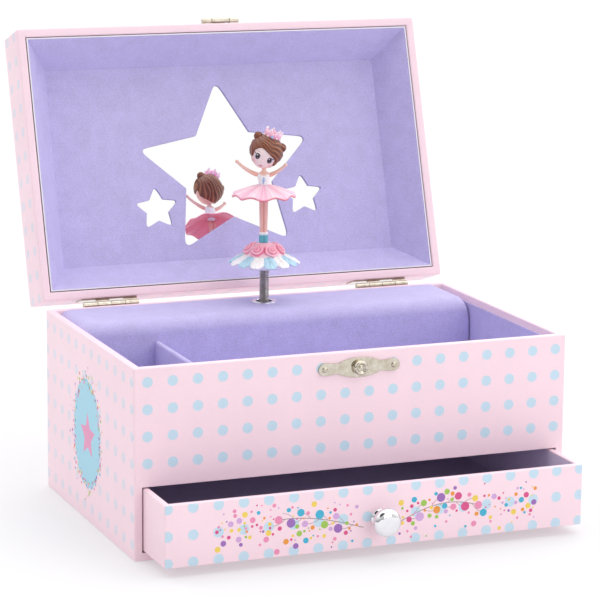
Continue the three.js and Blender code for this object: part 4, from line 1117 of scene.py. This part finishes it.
def face_colours(points):
    """The painted face, seen from the front of the head."""
    x, y, z = points.T
    front = y < 0
    # Painted shade: the skin turns a darker peach away from the front of the face, towards the sides and
    # back of the head.
    shade = smooth((y + 5.5) / 6)
    result = blended(SKIN, SKIN_PAINTED_SHADE, shade)
    for side in (-1, 1):
        cheek = np.exp(-(((x - side * 5.0) / 1.7) ** 2 + ((z + 6.6) / 1.2) ** 2))
        result = blended(result, BLUSH, 0.6 * cheek * front)
        near = front & (np.abs(x - side * EYE_X) < 3.2) & (np.abs(z - EYE_Z) < 3.2)
        px, pz = x[near] - side * EYE_X, z[near] - EYE_Z
        part = result[near]
        part = blended(part, colour("D9CFE0"), oval(px, pz, side * 0.2, 0.0, 1.6, 1.75) * 0.9)
        part = blended(part, colour("5A3B3A"), oval(px, pz, -0.05, 0.0, 1.3, 1.7))
        part = blended(part, colour("241A20"), oval(px, pz, -0.05, 0.1, 1.0, 1.4))
        # Painted highlight: a white dot high in each eye; below it a pale grey-violet painted reflection.
        part = blended(part, colour("FFFFFF"), oval(px, pz, -0.4, 0.75, 0.27, 0.32, 0.4))
        part = blended(part, colour("C8B9CE"), oval(px, pz, 0.25, -0.9, 0.3, 0.22, 0.6) * 0.5)
        lid_line = [(-side * 1.25, 0.75), (side * 0.1, 2.3), (side * 1.75, 0.95)]
        part = blended(part, LASHES, stroke(px, pz, lid_line, 0.24))
        for root, tip in ((1.2, 2.2), (1.55, 2.35)):
            lash = [(side * root, 1.1), (side * (root + 0.4), 1.25), (side * tip, 3.2 - root)]
            part = blended(part, LASHES, stroke(px, pz, lash, 0.13) * 0.9)
        brow = [(-side * 0.9, 2.6), (side * 0.3, 3.1), (side * 1.5, 2.7)]
        part = blended(part, colour("A8705A"), stroke(px, pz, brow, 0.14) * 0.7)
        result[near] = part
    near = front & (np.abs(x) < 2) & (z < -5)
    px, pz = x[near], z[near]
    part = result[near]
    upper = [(-1.0, -7.75), (0.0, -8.15), (1.0, -7.75)]
    part = blended(part, colour("C9545C"), oval(px, pz, 0.0, -8.1, 0.75, 0.38, 0.5))
    part = blended(part, colour("A63B45"), stroke(px, pz, upper, 0.14))
    part = blended(part, colour("E79C96"), oval(px, pz, 0.0, -5.9, 0.4, 0.16, 0.8) * 0.6)
    result[near] = part
    return result


head = skin_of("dancer_head", head_surface, head_frame)
paint(head, face_colours, head_local)
place_on(head, "figure", "doll_skin")
print("head points", len(head.data.vertices))

# %% [markdown]
# ## Hair and crown
#
# The hair is a second shell over the head. It is parted at one side, and where the face shows it
# dips below the skin, so its edge becomes the swept fringe. Fine ripples run down from the parting
# like combed strands. The crown is a low band that rises into points, each with a pearl.

# %% Hair
PARTING = -2.8
COMB_FROM = (-12, 8)
shell = globe(150, 240, 0.35)
shell_chin = smooth(-shell[..., 2])
full = shell * np.array([9.45, 9.1, 9.2])
x, y, z = full[..., 0], full[..., 1], full[..., 2]
fringe = np.where(x < PARTING, 2.4 - 0.2 * (PARTING - x) ** 2, 2.4 - 0.32 * np.abs(x - PARTING) ** 1.15)
lock_end = np.where(x < 0, -4.2, -6.2)
within = smooth(7.2 - np.abs(x), 0.7)
opening = np.maximum(within, smooth(lock_end - z, 0.9)) * smooth(fringe - z, 0.6) * smooth(1.5 - y, 1.5)
opening = np.maximum(opening, smooth(-7.0 - 2.0 * smooth(y, 4.0) - z, 0.8))
swept = np.arctan2(z - COMB_FROM[1], x - COMB_FROM[0])
strands = np.sin(52 * swept) * 0.1 + np.sin(17 * swept + 1) * 0.12
depth = 1 - 0.125 * opening + strands / 9.4 * (1 - opening)
hair_surface = full * depth[..., None]
hair_surface[..., 0] *= 1 - 0.1 * shell_chin
hair_surface[..., 2] -= 0.9 * shell_chin


def hair_colours(points):
    """Chestnut with darker and lighter strands."""
    x, z = points[:, 0], points[:, 2]
    lines = 0.5 + 0.5 * np.sin(52 * np.arctan2(z - COMB_FROM[1], x - COMB_FROM[0]) + 1.2 * np.sin(0.9 * x))
    return blended(colour("5C2A1B"), colour("A4623F"), 0.1 + 0.8 * lines ** 2)


hair = skin_of("combed_hair", hair_surface, head_frame)
paint(hair, hair_colours, head_local)
place_on(hair, "figure", "doll_hair", "hair")
for label, bun_x, bun_z in (("left", -6.9, 6.0), ("right", 7.3, 4.6)):
    spiral = globe(40, 64)
    bun_turn = np.arctan2(spiral[..., 2], spiral[..., 0])
    swirl = 1 + 0.05 * np.sin(3 * bun_turn + 9 * spiral[..., 1])
    surface = spiral * swirl[..., None] * 2.5 + np.array([bun_x, 0.6, bun_z])
    bun = skin_of(f"bun_{label}", surface, head_frame)
    paint(bun, hair_colours, head_local)
    place_on(bun, "figure", "doll_hair")
print("hair points", len(hair.data.vertices))

# %% Crown
CROWN_SHIFT, CROWN_BASE = 0.2, 7.2


def crown_wall(turn, height, outward):
    """A wall round a small circle; height 0 is its foot and 1 its wavy top, outward its thickness."""
    point_height = 3.8 + 1.3 * np.cos(3.5 * turn + 0.4) ** 2
    radius = 3.9 + 0.7 * height + outward + 0.12 * np.cos(14 * turn)
    return np.stack([CROWN_SHIFT + radius * np.cos(turn), 0.3 + radius * np.sin(turn),
                     CROWN_BASE + point_height * height], -1)


turn = np.linspace(0, 2 * math.pi, 140, endpoint=False)
section = [(0.0, 0.35), (0.3, 0.42), (0.7, 0.4), (0.94, 0.3),
           (1.0, 0.0), (0.94, -0.35), (0.5, -0.4), (0.0, -0.35)]
crown_rows = np.array([crown_wall(turn, height, outward) for height, outward in section])


def crown_colours(points):
    """Deeper pink low down, pale at the points."""
    return blended(colour("F68FBE"), colour("FDD3E4"), smooth(points[:, 2] - CROWN_BASE - 0.6, 3.4))


crown = skin_of("pink_crown", crown_rows, head_frame, wrap_rows=True)
paint(crown, crown_colours, head_local)
place_on(crown, "figure", "doll_crown", "crown")
PEARL = plastic("pearl", "FBEFF5", 0.2)
GEM = plastic("gem", "A9BFEA", 0.12)


def beads(name, centres, radii, material, move):
    """Many small balls in one piece."""
    small = globe(12, 16)
    balls = [small * radius + np.asarray(centre) for centre, radius in zip(centres, radii)]
    return joined(name, balls, material, move)


peaks = (np.arange(7) * math.pi - 0.4) / 3.5
tips = [crown_wall(np.array(peak), 1.0, 0.0) for peak in peaks]
place_on(beads("crown_pearls", tips, [0.62] * 7, PEARL, head_frame), "figure", "doll_crown")
around = np.linspace(0, 2 * math.pi, 11, endpoint=False) - math.pi / 2
studs = [crown_wall(np.array(a), 0.3, 0.55) for a in around]
place_on(beads("crown_studs", studs[1:], [0.55] * 10, PEARL, head_frame), "figure", "doll_crown")
front_stud = crown_wall(np.array(-math.pi / 2), 0.4, 0.5)
place_on(beads("crown_gem", [front_stud], [0.85], GEM, head_frame), "figure", "doll_crown")
print("crown with", len(peaks), "points")

# %% [markdown]
# ## Body, arms and legs
#
# The body is a stack of ovals that narrows at the waist, painted white up to the neckline. The
# arms are tapered rounds carried along a gentle curve. The two legs are moulded as one, with a
# groove between them, and end in a white band and one block of turquoise for the shoes.


# %% Body
BODY_SHIFT = -0.5


def refined(rows, shares):
    """Puts extra rows between each two, at the given shares of the way, starting with share 0."""
    rows = [np.array(row, float) for row in rows]
    between = [low + (high - low) * share for low, high in zip(rows[:-1], rows[1:]) for share in shares]
    return between + [rows[-1]]


def oval_stack(rows, steps=56, groove=0.0):
    """Ovals of (height, half width, half depth) centred a little to one side of the spindle."""
    angle = np.linspace(0, 2 * math.pi, steps, endpoint=False)
    stack = []
    for height, half_x, half_y in rows:
        x = half_x * np.cos(angle)
        y = half_y * np.sin(angle) * (1 - groove * np.exp(-((x / 0.55) ** 2)))
        stack.append(np.stack([x + BODY_SHIFT, y, np.full(steps, height)], -1))
    return np.array(stack)


body_rows = [(64.6, 0, 0), (64.6, 2.6, 2.1), (66.0, 2.75, 2.2), (68.0, 3.1, 2.4), (70.0, 3.5, 2.5),
             (71.4, 3.55, 2.3), (72.4, 2.9, 1.9), (73.1, 1.7, 1.4), (73.8, 1.2, 1.15), (76.5, 1.15, 1.1),
             (79.0, 1.2, 1.1), (79.0, 0, 0)]
body = skin_of("dancer_body", oval_stack(refined(body_rows, (0, 0.25, 0.5, 0.75))))


def body_colours(points):
    """White bodice with a rounded neckline, skin above it."""
    x, z = points[:, 0], points[:, 2]
    neckline = 71.7 - 0.5 * np.exp(-((x - BODY_SHIFT) / 1.2) ** 2) + 0.05 * np.abs(x - BODY_SHIFT) ** 2
    bodice = smooth(neckline - z, 0.3)
    return blended(colour("F4C9BC"), colour("F7F6FB"), bodice)


paint(body, body_colours)
place_on(body, "figure", "doll_skin", "dancer")
gems = [(BODY_SHIFT, -2.45, 68.4), (BODY_SHIFT, -2.5, 69.7), (BODY_SHIFT - 0.2, -2.3, 67.0)]
place_on(beads("bodice_gems", gems, [0.85, 0.5, 0.45], GEM, figure_frame), "figure", "doll_skin")

t = np.linspace(0, 1, 26)[:, None]
for label, shoulder, elbow, hand in (
        ("left", (-3.6, 0, 71.2), (-10.5, -0.4, 73.4), (-16.2, -1.0, 79.6)),
        ("right", (1.9, 0, 71.0), (7.2, -0.4, 72.4), (12.3, -1.0, 77.9))):
    path = (1 - t) ** 2 * np.array(shoulder) + 2 * t * (1 - t) * np.array(elbow) + t * t * np.array(hand)
    s = t[:, 0]
    hand_swell = 0.35 * np.exp(-((s - 0.93) / 0.05) ** 2)
    closing = np.sqrt(np.clip(1 - (2 * s - 1) ** 20, 0, 1))
    radii = (1.3 - 0.62 * s + hand_swell) * closing
    arm = skin_of(f"arm_{label}", limb(path, radii, 20, 0.85))
    paint(arm, lambda points: blended(colour("F4C9BC"), colour("F0B2A4"), smooth(75 - points[:, 2], 5)))
    place_on(arm, "figure", "doll_skin")

leg_rows = [(33.4, 0, 0), (33.4, 2.2, 1.9), (33.9, 2.55, 2.2), (37.4, 2.5, 2.1), (37.9, 2.3, 1.9),
            (38.0, 2.5, 2.0), (39.4, 2.45, 1.95), (39.6, 2.1, 1.55), (44.0, 2.15, 1.5), (50.0, 2.35, 1.6),
            (58.0, 2.45, 1.7), (63.0, 2.5, 1.8), (63.0, 0, 0)]
legs = skin_of("dancer_legs", oval_stack(refined(leg_rows, (0, 0.34, 0.67)), 72, 0.3))


def leg_colours(points):
    """Turquoise shoes, a white band above them, then skin with painted shade along the groove between the
    legs.
    """
    x, z = points[:, 0], points[:, 2]
    # Painted shade: the skin darkens along the groove between the two legs.
    line = np.exp(-(((x - BODY_SHIFT) / 0.4) ** 2))
    skin = blended(colour("F5C3B6"), colour("DC8F83"), 0.8 * line)
    banded = blended(skin, colour("FBFBFD"), smooth(39.55 - z, 0.1))
    return blended(banded, colour("5FB9CC"), smooth(37.95 - z, 0.1))


paint(legs, leg_colours)
place_on(legs, "figure", "doll_skin")
print("body, arms and legs made")

# %% [markdown]
# ## Tutu
#
# The skirt is a moulded plate that droops from the waist. Its hem waves up and down more and more
# towards the rim, as ruffled cloth does, and finer pleats run out from the waist.

# %% Tutu
TUTU_RADIUS = 17.2
WAIST_RADIUS = 1.6


def tutu_wave(turn):
    """Nine waves round the hem, a little uneven, from -1 to 1."""
    return np.sin(9 * turn + 0.6 * np.sin(2 * turn))


def tutu_surface(share, turn, lower):
    """A height over (distance from the waist, direction): a droop, a growing wave and fine pleats."""
    rim = TUTU_RADIUS * (1 + 0.02 * np.cos(9 * turn + 1.0))
    radius = WAIST_RADIUS + (rim - WAIST_RADIUS) * share
    droop = 66.1 - 5.2 * share ** 1.25
    wave = 0.7 * share ** 2.2 * tutu_wave(turn)
    pleats = 0.22 * np.sin(math.pi * np.clip(share, 0, 1)) ** 0.5 * np.cos(36 * turn)
    height = droop + wave + pleats - lower
    return np.stack([BODY_SHIFT + radius * np.cos(turn), radius * np.sin(turn), height], -1)


turn = np.linspace(0, 2 * math.pi, 288, endpoint=False)
shares = np.linspace(0, 1, 34)
rows = [tutu_surface(share, turn, 0.0) for share in shares]
rows.append(tutu_surface(1.015, turn, 0.65))
rows += [tutu_surface(share, turn, 1.3) for share in shares[::-1]]
tutu = skin_of("tutu_skirt", np.array(rows), wrap_rows=True)


def tutu_colours(points):
    """Pale pink on top with painted highlights on the wave crests and pleat ridges, deep pink below."""
    x, y, z = points.T
    turn = np.arctan2(y, x - BODY_SHIFT)
    away = np.hypot(x - BODY_SHIFT, y)
    share = np.clip((away - WAIST_RADIUS) / (TUTU_RADIUS - WAIST_RADIUS), 0, 1)
    middle = tutu_surface(share, turn, 0.6)[:, 2]
    # Painted highlight: the raised crests of the hem's waves and of the fine pleats are paler, as if lit.
    painted_crest_light = 0.5 + 0.5 * tutu_wave(turn)
    fine = 0.5 + 0.5 * np.cos(36 * turn)
    top = blended(colour("F6A9C6"), colour("FEE4EE"), np.clip(0.2 + 0.5 * painted_crest_light + 0.3 * fine, 0, 1))
    return blended(colour("F58B97"), top, smooth(z - middle + 0.2, 0.4))


paint(tutu, tutu_colours)
place_on(tutu, "figure", "doll_tutu", "tutu")
print("tutu points", len(tutu.data.vertices))

# %% [markdown]
# ## Rosette
#
# The stand under the feet is a posy: two rings of drooping petals, pale blue and white by turns,
# under a ring of small roses. Each rose is a dome with a spiral groove, the way a ribbon is
# wound. A plain disc underneath holds them and hides the top of the spring.

# %% Rosette
BLUE_PETAL, WHITE_PETAL = colour("B9E0F2"), colour("FEFDFE")
ROSE, ROSE_GROOVE_SHADE = colour("FFC3D5"), colour("F0809F")
PETALS = 14
HALF_PETAL = math.pi / PETALS
ROSES = 7
ROSE_RING, ROSE_HEIGHT = 7.9, 28.9
ROSE_SIZE, ROSE_FLATNESS = 4.1, 0.8
ROSE_AXES = np.array([ROSE_SIZE, ROSE_SIZE, ROSE_SIZE * ROSE_FLATNESS])
ROSE_TILT = 0.75
ROSE_SPIN = 1.7
ROSE_WINDS = 2.6


def petal(turn, reach, droop, width, tilt, centre_height):
    """A rounded pad pointing outward, thinner and wavy towards its free end."""
    pad = globe(24, 40)
    along, across, up = pad[..., 0], pad[..., 1], pad[..., 2]
    thick = 1.35 * up * (1 - 0.25 * along) + 0.22 * np.cos(8 * np.arctan2(across, along))
    along_mm = reach * along
    across_mm = width * across * (0.85 + 0.3 * along)
    c, s = math.cos(tilt), math.sin(tilt)
    out = droop + along_mm * c + thick * s
    height = centre_height - along_mm * s + thick * c - 0.5 * (along_mm / reach) ** 2
    x = out * math.cos(turn) - across_mm * math.sin(turn)
    y = out * math.sin(turn) + across_mm * math.cos(turn)
    return np.stack([x, y, height], -1)


petal_turns = -math.pi / 2 + (2 * np.arange(PETALS) + 1) * HALF_PETAL
lower_petals = joined("petals_lower", [petal(a, 5.8, 14.4, 4.3, 0.3, 24.2) for a in petal_turns], PAINTED)
upper_petals = joined("petals_upper", [petal(a, 4.6, 11.6, 3.9, 0.28, 25.6) for a in petal_turns], PAINTED)


def petal_colours(points):
    """Blue and white by turns, by the direction each petal points in."""
    turn = np.arctan2(points[:, 1], points[:, 0]) + math.pi / 2 - HALF_PETAL
    index = np.round(turn / (2 * HALF_PETAL)).astype(int)
    plain = np.where((index % 2 == 0)[:, None], BLUE_PETAL, WHITE_PETAL)
    vein = 0.5 + 0.5 * np.cos(turn * PETALS * 5)
    return blended(plain, plain * 0.86, 0.4 * vein)


paint(lower_petals, petal_colours)
paint(upper_petals, petal_colours)
place_on(lower_petals, "figure", "doll_rosette", "rosette")
place_on(upper_petals, "figure", "doll_rosette")


def rose_spiral(unit, spin):
    """The wave across a rose's spiral groove, from -1 to 1, at directions from its middle."""
    flat = np.hypot(unit[..., 0], unit[..., 1])
    return np.sin(2 * math.pi * ROSE_WINDS * flat - np.arctan2(unit[..., 1], unit[..., 0]) + spin)


def rose(centre, spin):
    """A dome with a spiral groove that deepens towards the edge, tipped outward."""
    ball = globe(44, 64)
    flat = np.hypot(ball[..., 0], ball[..., 1])
    turn = np.arctan2(ball[..., 1], ball[..., 0])
    wavy = 1 + 0.07 * np.cos(5 * turn + spin) * flat
    grow = (1 + 0.1 * rose_spiral(ball, spin) * smooth(ball[..., 2] + 0.5)) * wavy
    local = ball * grow[..., None] * ROSE_AXES
    direction = math.atan2(centre[1], centre[0])
    c, s = math.cos(ROSE_TILT), math.sin(ROSE_TILT)
    out = local[..., 0] * c + local[..., 2] * s
    up = -local[..., 0] * s + local[..., 2] * c
    x = out * math.cos(direction) - local[..., 1] * math.sin(direction)
    y = out * math.sin(direction) + local[..., 1] * math.cos(direction)
    return np.stack([x, y, up], -1) + np.asarray(centre)


ROSE_TURNS = -math.pi / 2 + (np.arange(ROSES) + 0.5) * 2 * math.pi / ROSES
ROSE_CENTRES = [(ROSE_RING * math.cos(a), ROSE_RING * math.sin(a), ROSE_HEIGHT) for a in ROSE_TURNS]
posy = joined("roses", [rose(centre, ROSE_SPIN * i) for i, centre in enumerate(ROSE_CENTRES)], PAINTED)


def rose_colours(points):
    """Painted shade: deeper pink in the grooves of each rose, found from the nearest rose's own dome."""
    result = np.zeros(len(points))
    for index, (a, centre) in enumerate(zip(ROSE_TURNS, ROSE_CENTRES)):
        offset = points - centre
        c, s = math.cos(ROSE_TILT), math.sin(ROSE_TILT)
        out = offset[:, 0] * math.cos(a) + offset[:, 1] * math.sin(a)
        sideways = -offset[:, 0] * math.sin(a) + offset[:, 1] * math.cos(a)
        local = np.stack([out * c - offset[:, 2] * s, sideways, out * s + offset[:, 2] * c], -1)
        local /= ROSE_AXES
        size = np.linalg.norm(local, axis=1)
        spiral = rose_spiral(local / size[:, None], ROSE_SPIN * index)
        result = np.where(np.abs(size - 1) < 0.25, spiral, result)
    # Painted shade: the spiral grooves turn deeper pink.
    return blended(ROSE_GROOVE_SHADE, ROSE, smooth(result + 0.9, 1.3))


paint(posy, rose_colours)
place_on(posy, "figure", "doll_rosette")
heart_profile = [(19.6, 0), (19.6, 11), (22.0, 12.5), (27.0, 11.5),
                 (31.0, 7.0), (33.0, 4.4), (33.5, 3.4), (33.5, 0)]
heart_rows = oval_stack([(height, radius, radius) for height, radius in heart_profile], 72)
heart_rows[..., 0] -= BODY_SHIFT
heart = skin_of("posy_heart", heart_rows)
paint(heart, lambda points: blended(WHITE_PETAL, ROSE, smooth(points[:, 2] - 26, 2)))
place_on(heart, "figure", "doll_rosette")
print("rosette with", PETALS * 2, "petals and", ROSES, "roses")

# %% [markdown]
# ## Spring
#
# A close-wound steel coil carries the figure and lets it fold forward under the closing lid. Here it
# is drawn standing straight, a round wire wound round the spindle.

# %% Spring
COIL_RADIUS, WIRE, PITCH = 2.36, 0.34, 0.98
coil_low, coil_high = span("spring")
turns = (coil_high[2] - coil_low[2] - 2 * WIRE) / PITCH
t = np.linspace(0, 1, int(turns * 28))
angle = 2 * math.pi * turns * t
centre_line = np.stack([SPINDLE[0] + COIL_RADIUS * np.cos(angle), SPINDLE[1] + COIL_RADIUS * np.sin(angle),
                        coil_low[2] + WIRE + t * turns * PITCH], -1)
along = np.gradient(centre_line, axis=0)
along /= np.linalg.norm(along, axis=1, keepdims=True)
outward = np.stack([np.cos(angle), np.sin(angle), 0 * angle], -1)
other = np.cross(along, outward)
around = np.linspace(0, 2 * math.pi, 8, endpoint=False)
wire = centre_line[:, None] + WIRE * (
    outward[:, None] * np.cos(around)[None, :, None] + other[:, None] * np.sin(around)[None, :, None])
wire = np.concatenate([centre_line[:1, None].repeat(8, 1), wire, centre_line[-1:, None].repeat(8, 1)])
spring = new_piece("steel_spring", wire.reshape(-1, 3), grid_faces(wire.shape[0], 8, False, True), [STEEL])
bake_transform(spring)
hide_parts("spring")
print("spring of", round(turns), "turns")

# %% [markdown]
# ## Print on the drawer and on the side
#
# The drawer front carries a spray of fine twigs with coloured berries on both sides of the knob,
# and the left wall a pale blue medallion with a star. They are our own simple drawings: a few
# rules grow the twigs and scatter the dots, always the same way. Each mark is a flat patch of ink
# with a thickness far below a tenth of a millimetre, laid on the paper.


# %% Printed patches
INK = painted("printed ink", 0.6)
INK_DEPTH = 0.06


def on_drawer(points):
    """Patch points (across, up, out) to the drawer's front, with the knob at (0, 0)."""
    across, up, out = np.asarray(points).T
    return np.stack([knob_place[0] + across, tray_low[1] - out, knob_place[2] + up], axis=1)


def on_side(points):
    """Patch points (across, up, out) to the left wall, seen from outside."""
    across, up, out = np.asarray(points).T
    return np.stack([-HALF_X - out, -across, up], axis=1)


def patches(name, outlines, colours, layers, move):
    """Flat closed patches, each from an outline that its centre can see all of. A higher layer
    lies a little higher."""
    points, faces, shades, start = [], [], [], 0
    for outline, shade, layer in zip(outlines, colours, layers):
        outline = np.asarray(outline, float)
        count = len(outline)
        low, high = 0.004, INK_DEPTH * (0.6 + 0.13 * layer)
        bottom = np.column_stack([outline, np.full(count, low)])
        top = np.column_stack([outline, np.full(count, high)])
        middle = outline.mean(axis=0)
        points += [bottom, top, [[*middle, low]], [[*middle, high]]]
        i = np.arange(count)
        j = (i + 1) % count
        b, t = start + 2 * count, start + 2 * count + 1
        faces += [(start + p, start + q, start + count + q, start + count + p) for p, q in zip(i, j)]
        faces += [(b, start + q, start + p) for p, q in zip(i, j)]
        faces += [(t, start + count + p, start + count + q) for p, q in zip(i, j)]
        shades.append(np.tile(shade, (2 * count + 2, 1)))
        start += 2 * count + 2
    flat = move(np.concatenate([np.asarray(part, float) for part in points]))
    mesh = bpy.data.meshes.new(name)
    mesh.from_pydata((flat * MM).tolist(), [], [tuple(int(v) for v in face) for face in faces])
    rgba = np.ones((len(flat), 4))
    rgba[:, :3] = np.concatenate(shades)
    mesh.attributes.new("paint", "FLOAT_COLOR", "POINT").data.foreach_set(
        "color", rgba.astype(np.float32).ravel())
    mesh.materials.append(INK)
    finish_mesh(mesh, merge=1e-9)
    return add_object(name, mesh)


def disc(centre, radius, steps=22):
    """Points round a circle."""
    angle = np.linspace(0, 2 * math.pi, steps, endpoint=False)
    return np.stack([centre[0] + radius * np.cos(angle), centre[1] + radius * np.sin(angle)], axis=1)


def ribbon(points, width):
    """A thin strip of short quadrilaterals along a line."""
    points = np.asarray(points, float)
    along = np.gradient(points, axis=0)
    side = np.stack([-along[:, 1], along[:, 0]], axis=1)
    side *= (width / 2 / np.linalg.norm(side, axis=1))[:, None]
    left, right = points + side, points - side
    return [np.array([left[i], right[i], right[i + 1], left[i + 1]]) for i in range(len(points) - 1)]


BERRIES = [colour(h) for h in (
    "F39A3D", "F8D45A", "A3C853", "3FB3D3", "E0508A", "A06BB8", "D9A9DC", "F28FB5")]
TWIG = colour("A58F8E")
PRINT_REACH = 13.6
DRAWER_DOTS = 210
MEDAL_DOTS = 230
chance = np.random.default_rng(7)
outlines, shades, layers, berries = [], [], [], []


def twig(points, width):
    """A printed line."""
    for strip in ribbon(points, width):
        outlines.append(strip)
        shades.append(TWIG)
        layers.append(0)


def berry(centre, radius):
    """A printed dot, left out where it would touch another one, the knob or an edge."""
    clear = all(math.dist(centre, other) > radius + reach + 0.25 for other, reach in berries)
    if not clear or math.hypot(*centre) < KNOB_R + radius + 1 or abs(centre[1]) > PRINT_REACH - radius:
        return
    berries.append((centre, radius))
    outlines.append(disc(centre, radius))
    shades.append(BERRIES[int(chance.integers(len(BERRIES)))])
    layers.append(1)


t = np.linspace(0, 1, 41)
for side in (-1, 1):
    rise = -4.0 + 8.5 * np.sin((2.1 + 0.35 * side) * t)
    stem = np.stack([side * (9 + 46 * t), rise], axis=1)
    twig(stem, 0.4)
    berry(tuple(stem[-1]), 2.1)
    for index, place in enumerate(range(5, 40, 4)):
        heading = math.atan2(*(stem[place] - stem[place - 1])[::-1])
        lean = side * (0.85 if index % 2 else -0.85)
        length = 5.5 + 3.0 * chance.random()
        reach = np.linspace(0, 1, 7)
        turned = heading + lean * (1 - 0.5 * reach)
        branch = stem[place] + np.stack([np.cos(turned), np.sin(turned)], axis=1) * (length * reach)[:, None]
        twig(branch, 0.26)
        berry(tuple(branch[-1]), (2.35, 1.7, 2.0)[index % 3])
        berry(tuple(branch[3] + (0.0, 2.4 if index % 2 else -2.4)), 1.15)
    for _ in range(DRAWER_DOTS):
        share = chance.random() ** 0.8
        across = side * (10 + 78 * share)
        level = np.interp(share * 78, 46 * t, rise)
        berry((across, level + chance.normal(0, 6.5)), float(chance.choice([0.45, 0.7, 1.0, 1.5])))
spray = patches("drawer_print", outlines, shades, layers, on_drawer)
place_on(spray, "drawer", "pink_dotted_paper")

# %% Medallion on the left wall
MEDAL_Y, MEDAL_Z, MEDAL_HALF_Y, MEDAL_HALF_Z = -2.0, 47.4, 22.3, 28.6
angle = np.linspace(0, 2 * math.pi, 288, endpoint=False)
scallop = 1 + 0.045 * np.abs(np.sin(9 * angle))
oval_line = np.stack([MEDAL_Y + MEDAL_HALF_Y * scallop * np.cos(angle),
                      MEDAL_Z + MEDAL_HALF_Z * scallop * np.sin(angle)], axis=1)


def star(centre, tip, waist):
    """Five points from a radius that swings between tip and waist along straight edges."""
    corners = np.arange(10) * math.pi / 5 + math.pi / 2
    radii = np.where(np.arange(10) % 2 == 0, tip, waist)
    ring = np.stack([radii * np.cos(corners), radii * np.sin(corners)], axis=1)
    edge = np.linspace(0, 1, 6, endpoint=False)
    outline = [a + (b - a) * s for a, b in zip(ring, np.roll(ring, -1, axis=0)) for s in edge]
    return np.asarray(outline) + np.asarray(centre)


star_line = star((MEDAL_Y + 1, MEDAL_Z - 1), 12.6, 5.9)
outlines, shades, layers = [oval_line, star_line], [colour("A9DAEC"), colour("F09CC4")], [0, 1]
for i in range(MEDAL_DOTS):
    a = 2 * math.pi * (i + 0.5 * chance.random()) / MEDAL_DOTS
    reach = 0.9 + abs(chance.normal(0.05, 0.16))
    place = (MEDAL_Y + MEDAL_HALF_Y * reach * math.cos(a), MEDAL_Z + MEDAL_HALF_Z * reach * math.sin(a))
    outlines.append(disc(place, chance.choice([0.3, 0.45, 0.65, 0.9]), 12))
    shades.append(BERRIES[int(chance.integers(len(BERRIES)))])
    layers.append(2)
medallion = patches("side_medallion", outlines, shades, layers, on_side)
place_on(medallion, "case", "pink_dotted_paper")
print("printed patches:", len(outlines))

# %% [markdown]
# ## Studio
#
# The box stands on a pale floor in a surround that is brighter above, to the right and behind, with
# one soft light in front. A dark flag above the front left gives the metal something dark to show.
# The camera and the mirror see plain white instead of the surround.

# %% Floor and light
floor_material, tree, surface = shader(
    "studio floor", Roughness=0.9, Specular_IOR_Level=0.1, Emission_Strength=0.34)
surface.inputs["Base Color"].default_value = (0.5, 0.5, 0.515, 1.0)
surface.inputs["Emission Color"].default_value = (1.0, 1.0, 1.0, 1.0)
floor_points = np.array([[-4000, -4000, 0], [4000, -4000, 0], [4000, 4000, 0], [-4000, 4000, 0]])
floor = new_piece("floor", floor_points, [[0, 1, 2, 3]], [floor_material], smooth=False)

world = bpy.data.worlds.new("studio")
bpy.context.scene.world = world
world.use_nodes = True
world_tree = Tree(world.node_tree)
background = world.node_tree.nodes["Background"]
SURROUND = 0.7
SURROUND_SLOPE = (0.32, 0.3, 1.25)
direction = world_tree.add("ShaderNodeTexCoord").outputs["Generated"]
leaning = world_tree.vector("DOT_PRODUCT", direction, SURROUND_SLOPE)
tone = world_tree.math("ADD", leaning, SURROUND)
FLAG = (-0.37, -0.57, 0.73)
FLAG_OUTER, FLAG_INNER = 0.93, 0.955
FLAG_TONE = 0.06
towards_flag = world_tree.vector("DOT_PRODUCT", direction, FLAG)
flagged = world_tree.remap(towards_flag, FLAG_OUTER, FLAG_INNER, 1.0, FLAG_TONE)
tone = world_tree.math("MULTIPLY", tone, flagged)
ray = world_tree.add("ShaderNodeLightPath").outputs
seen = world_tree.math("MAXIMUM", ray["Is Camera Ray"], ray["Is Singular Ray"])
level = world_tree.mix(seen, tone, (1.0, 1.0, 1.0, 1.0))
link(world_tree, level, background, "Color")
background.inputs["Strength"].default_value = 1.0


def soft_light(name, place, target, size, power):
    """A square area light at a place in metres that looks at a target."""
    data = bpy.data.lights.new(name, "AREA")
    data.size = size
    data.energy = power
    light = add_object(name, data)
    light.location = place
    away = np.array(place) - np.array(target)
    flat = math.hypot(away[0], away[1])
    light.rotation_euler = (math.atan2(flat, away[2]), 0, math.atan2(away[1], away[0]) + math.pi / 2)


soft_light("front fill", (0.3, -1.1, 0.29), (0.0, -0.05, 0.07), 0.45, 0.9)

scene = bpy.context.scene
scene.view_settings.view_transform = "Standard"
scene.view_settings.look = "None"
scene.view_settings.exposure = 0.0
print("studio ready")
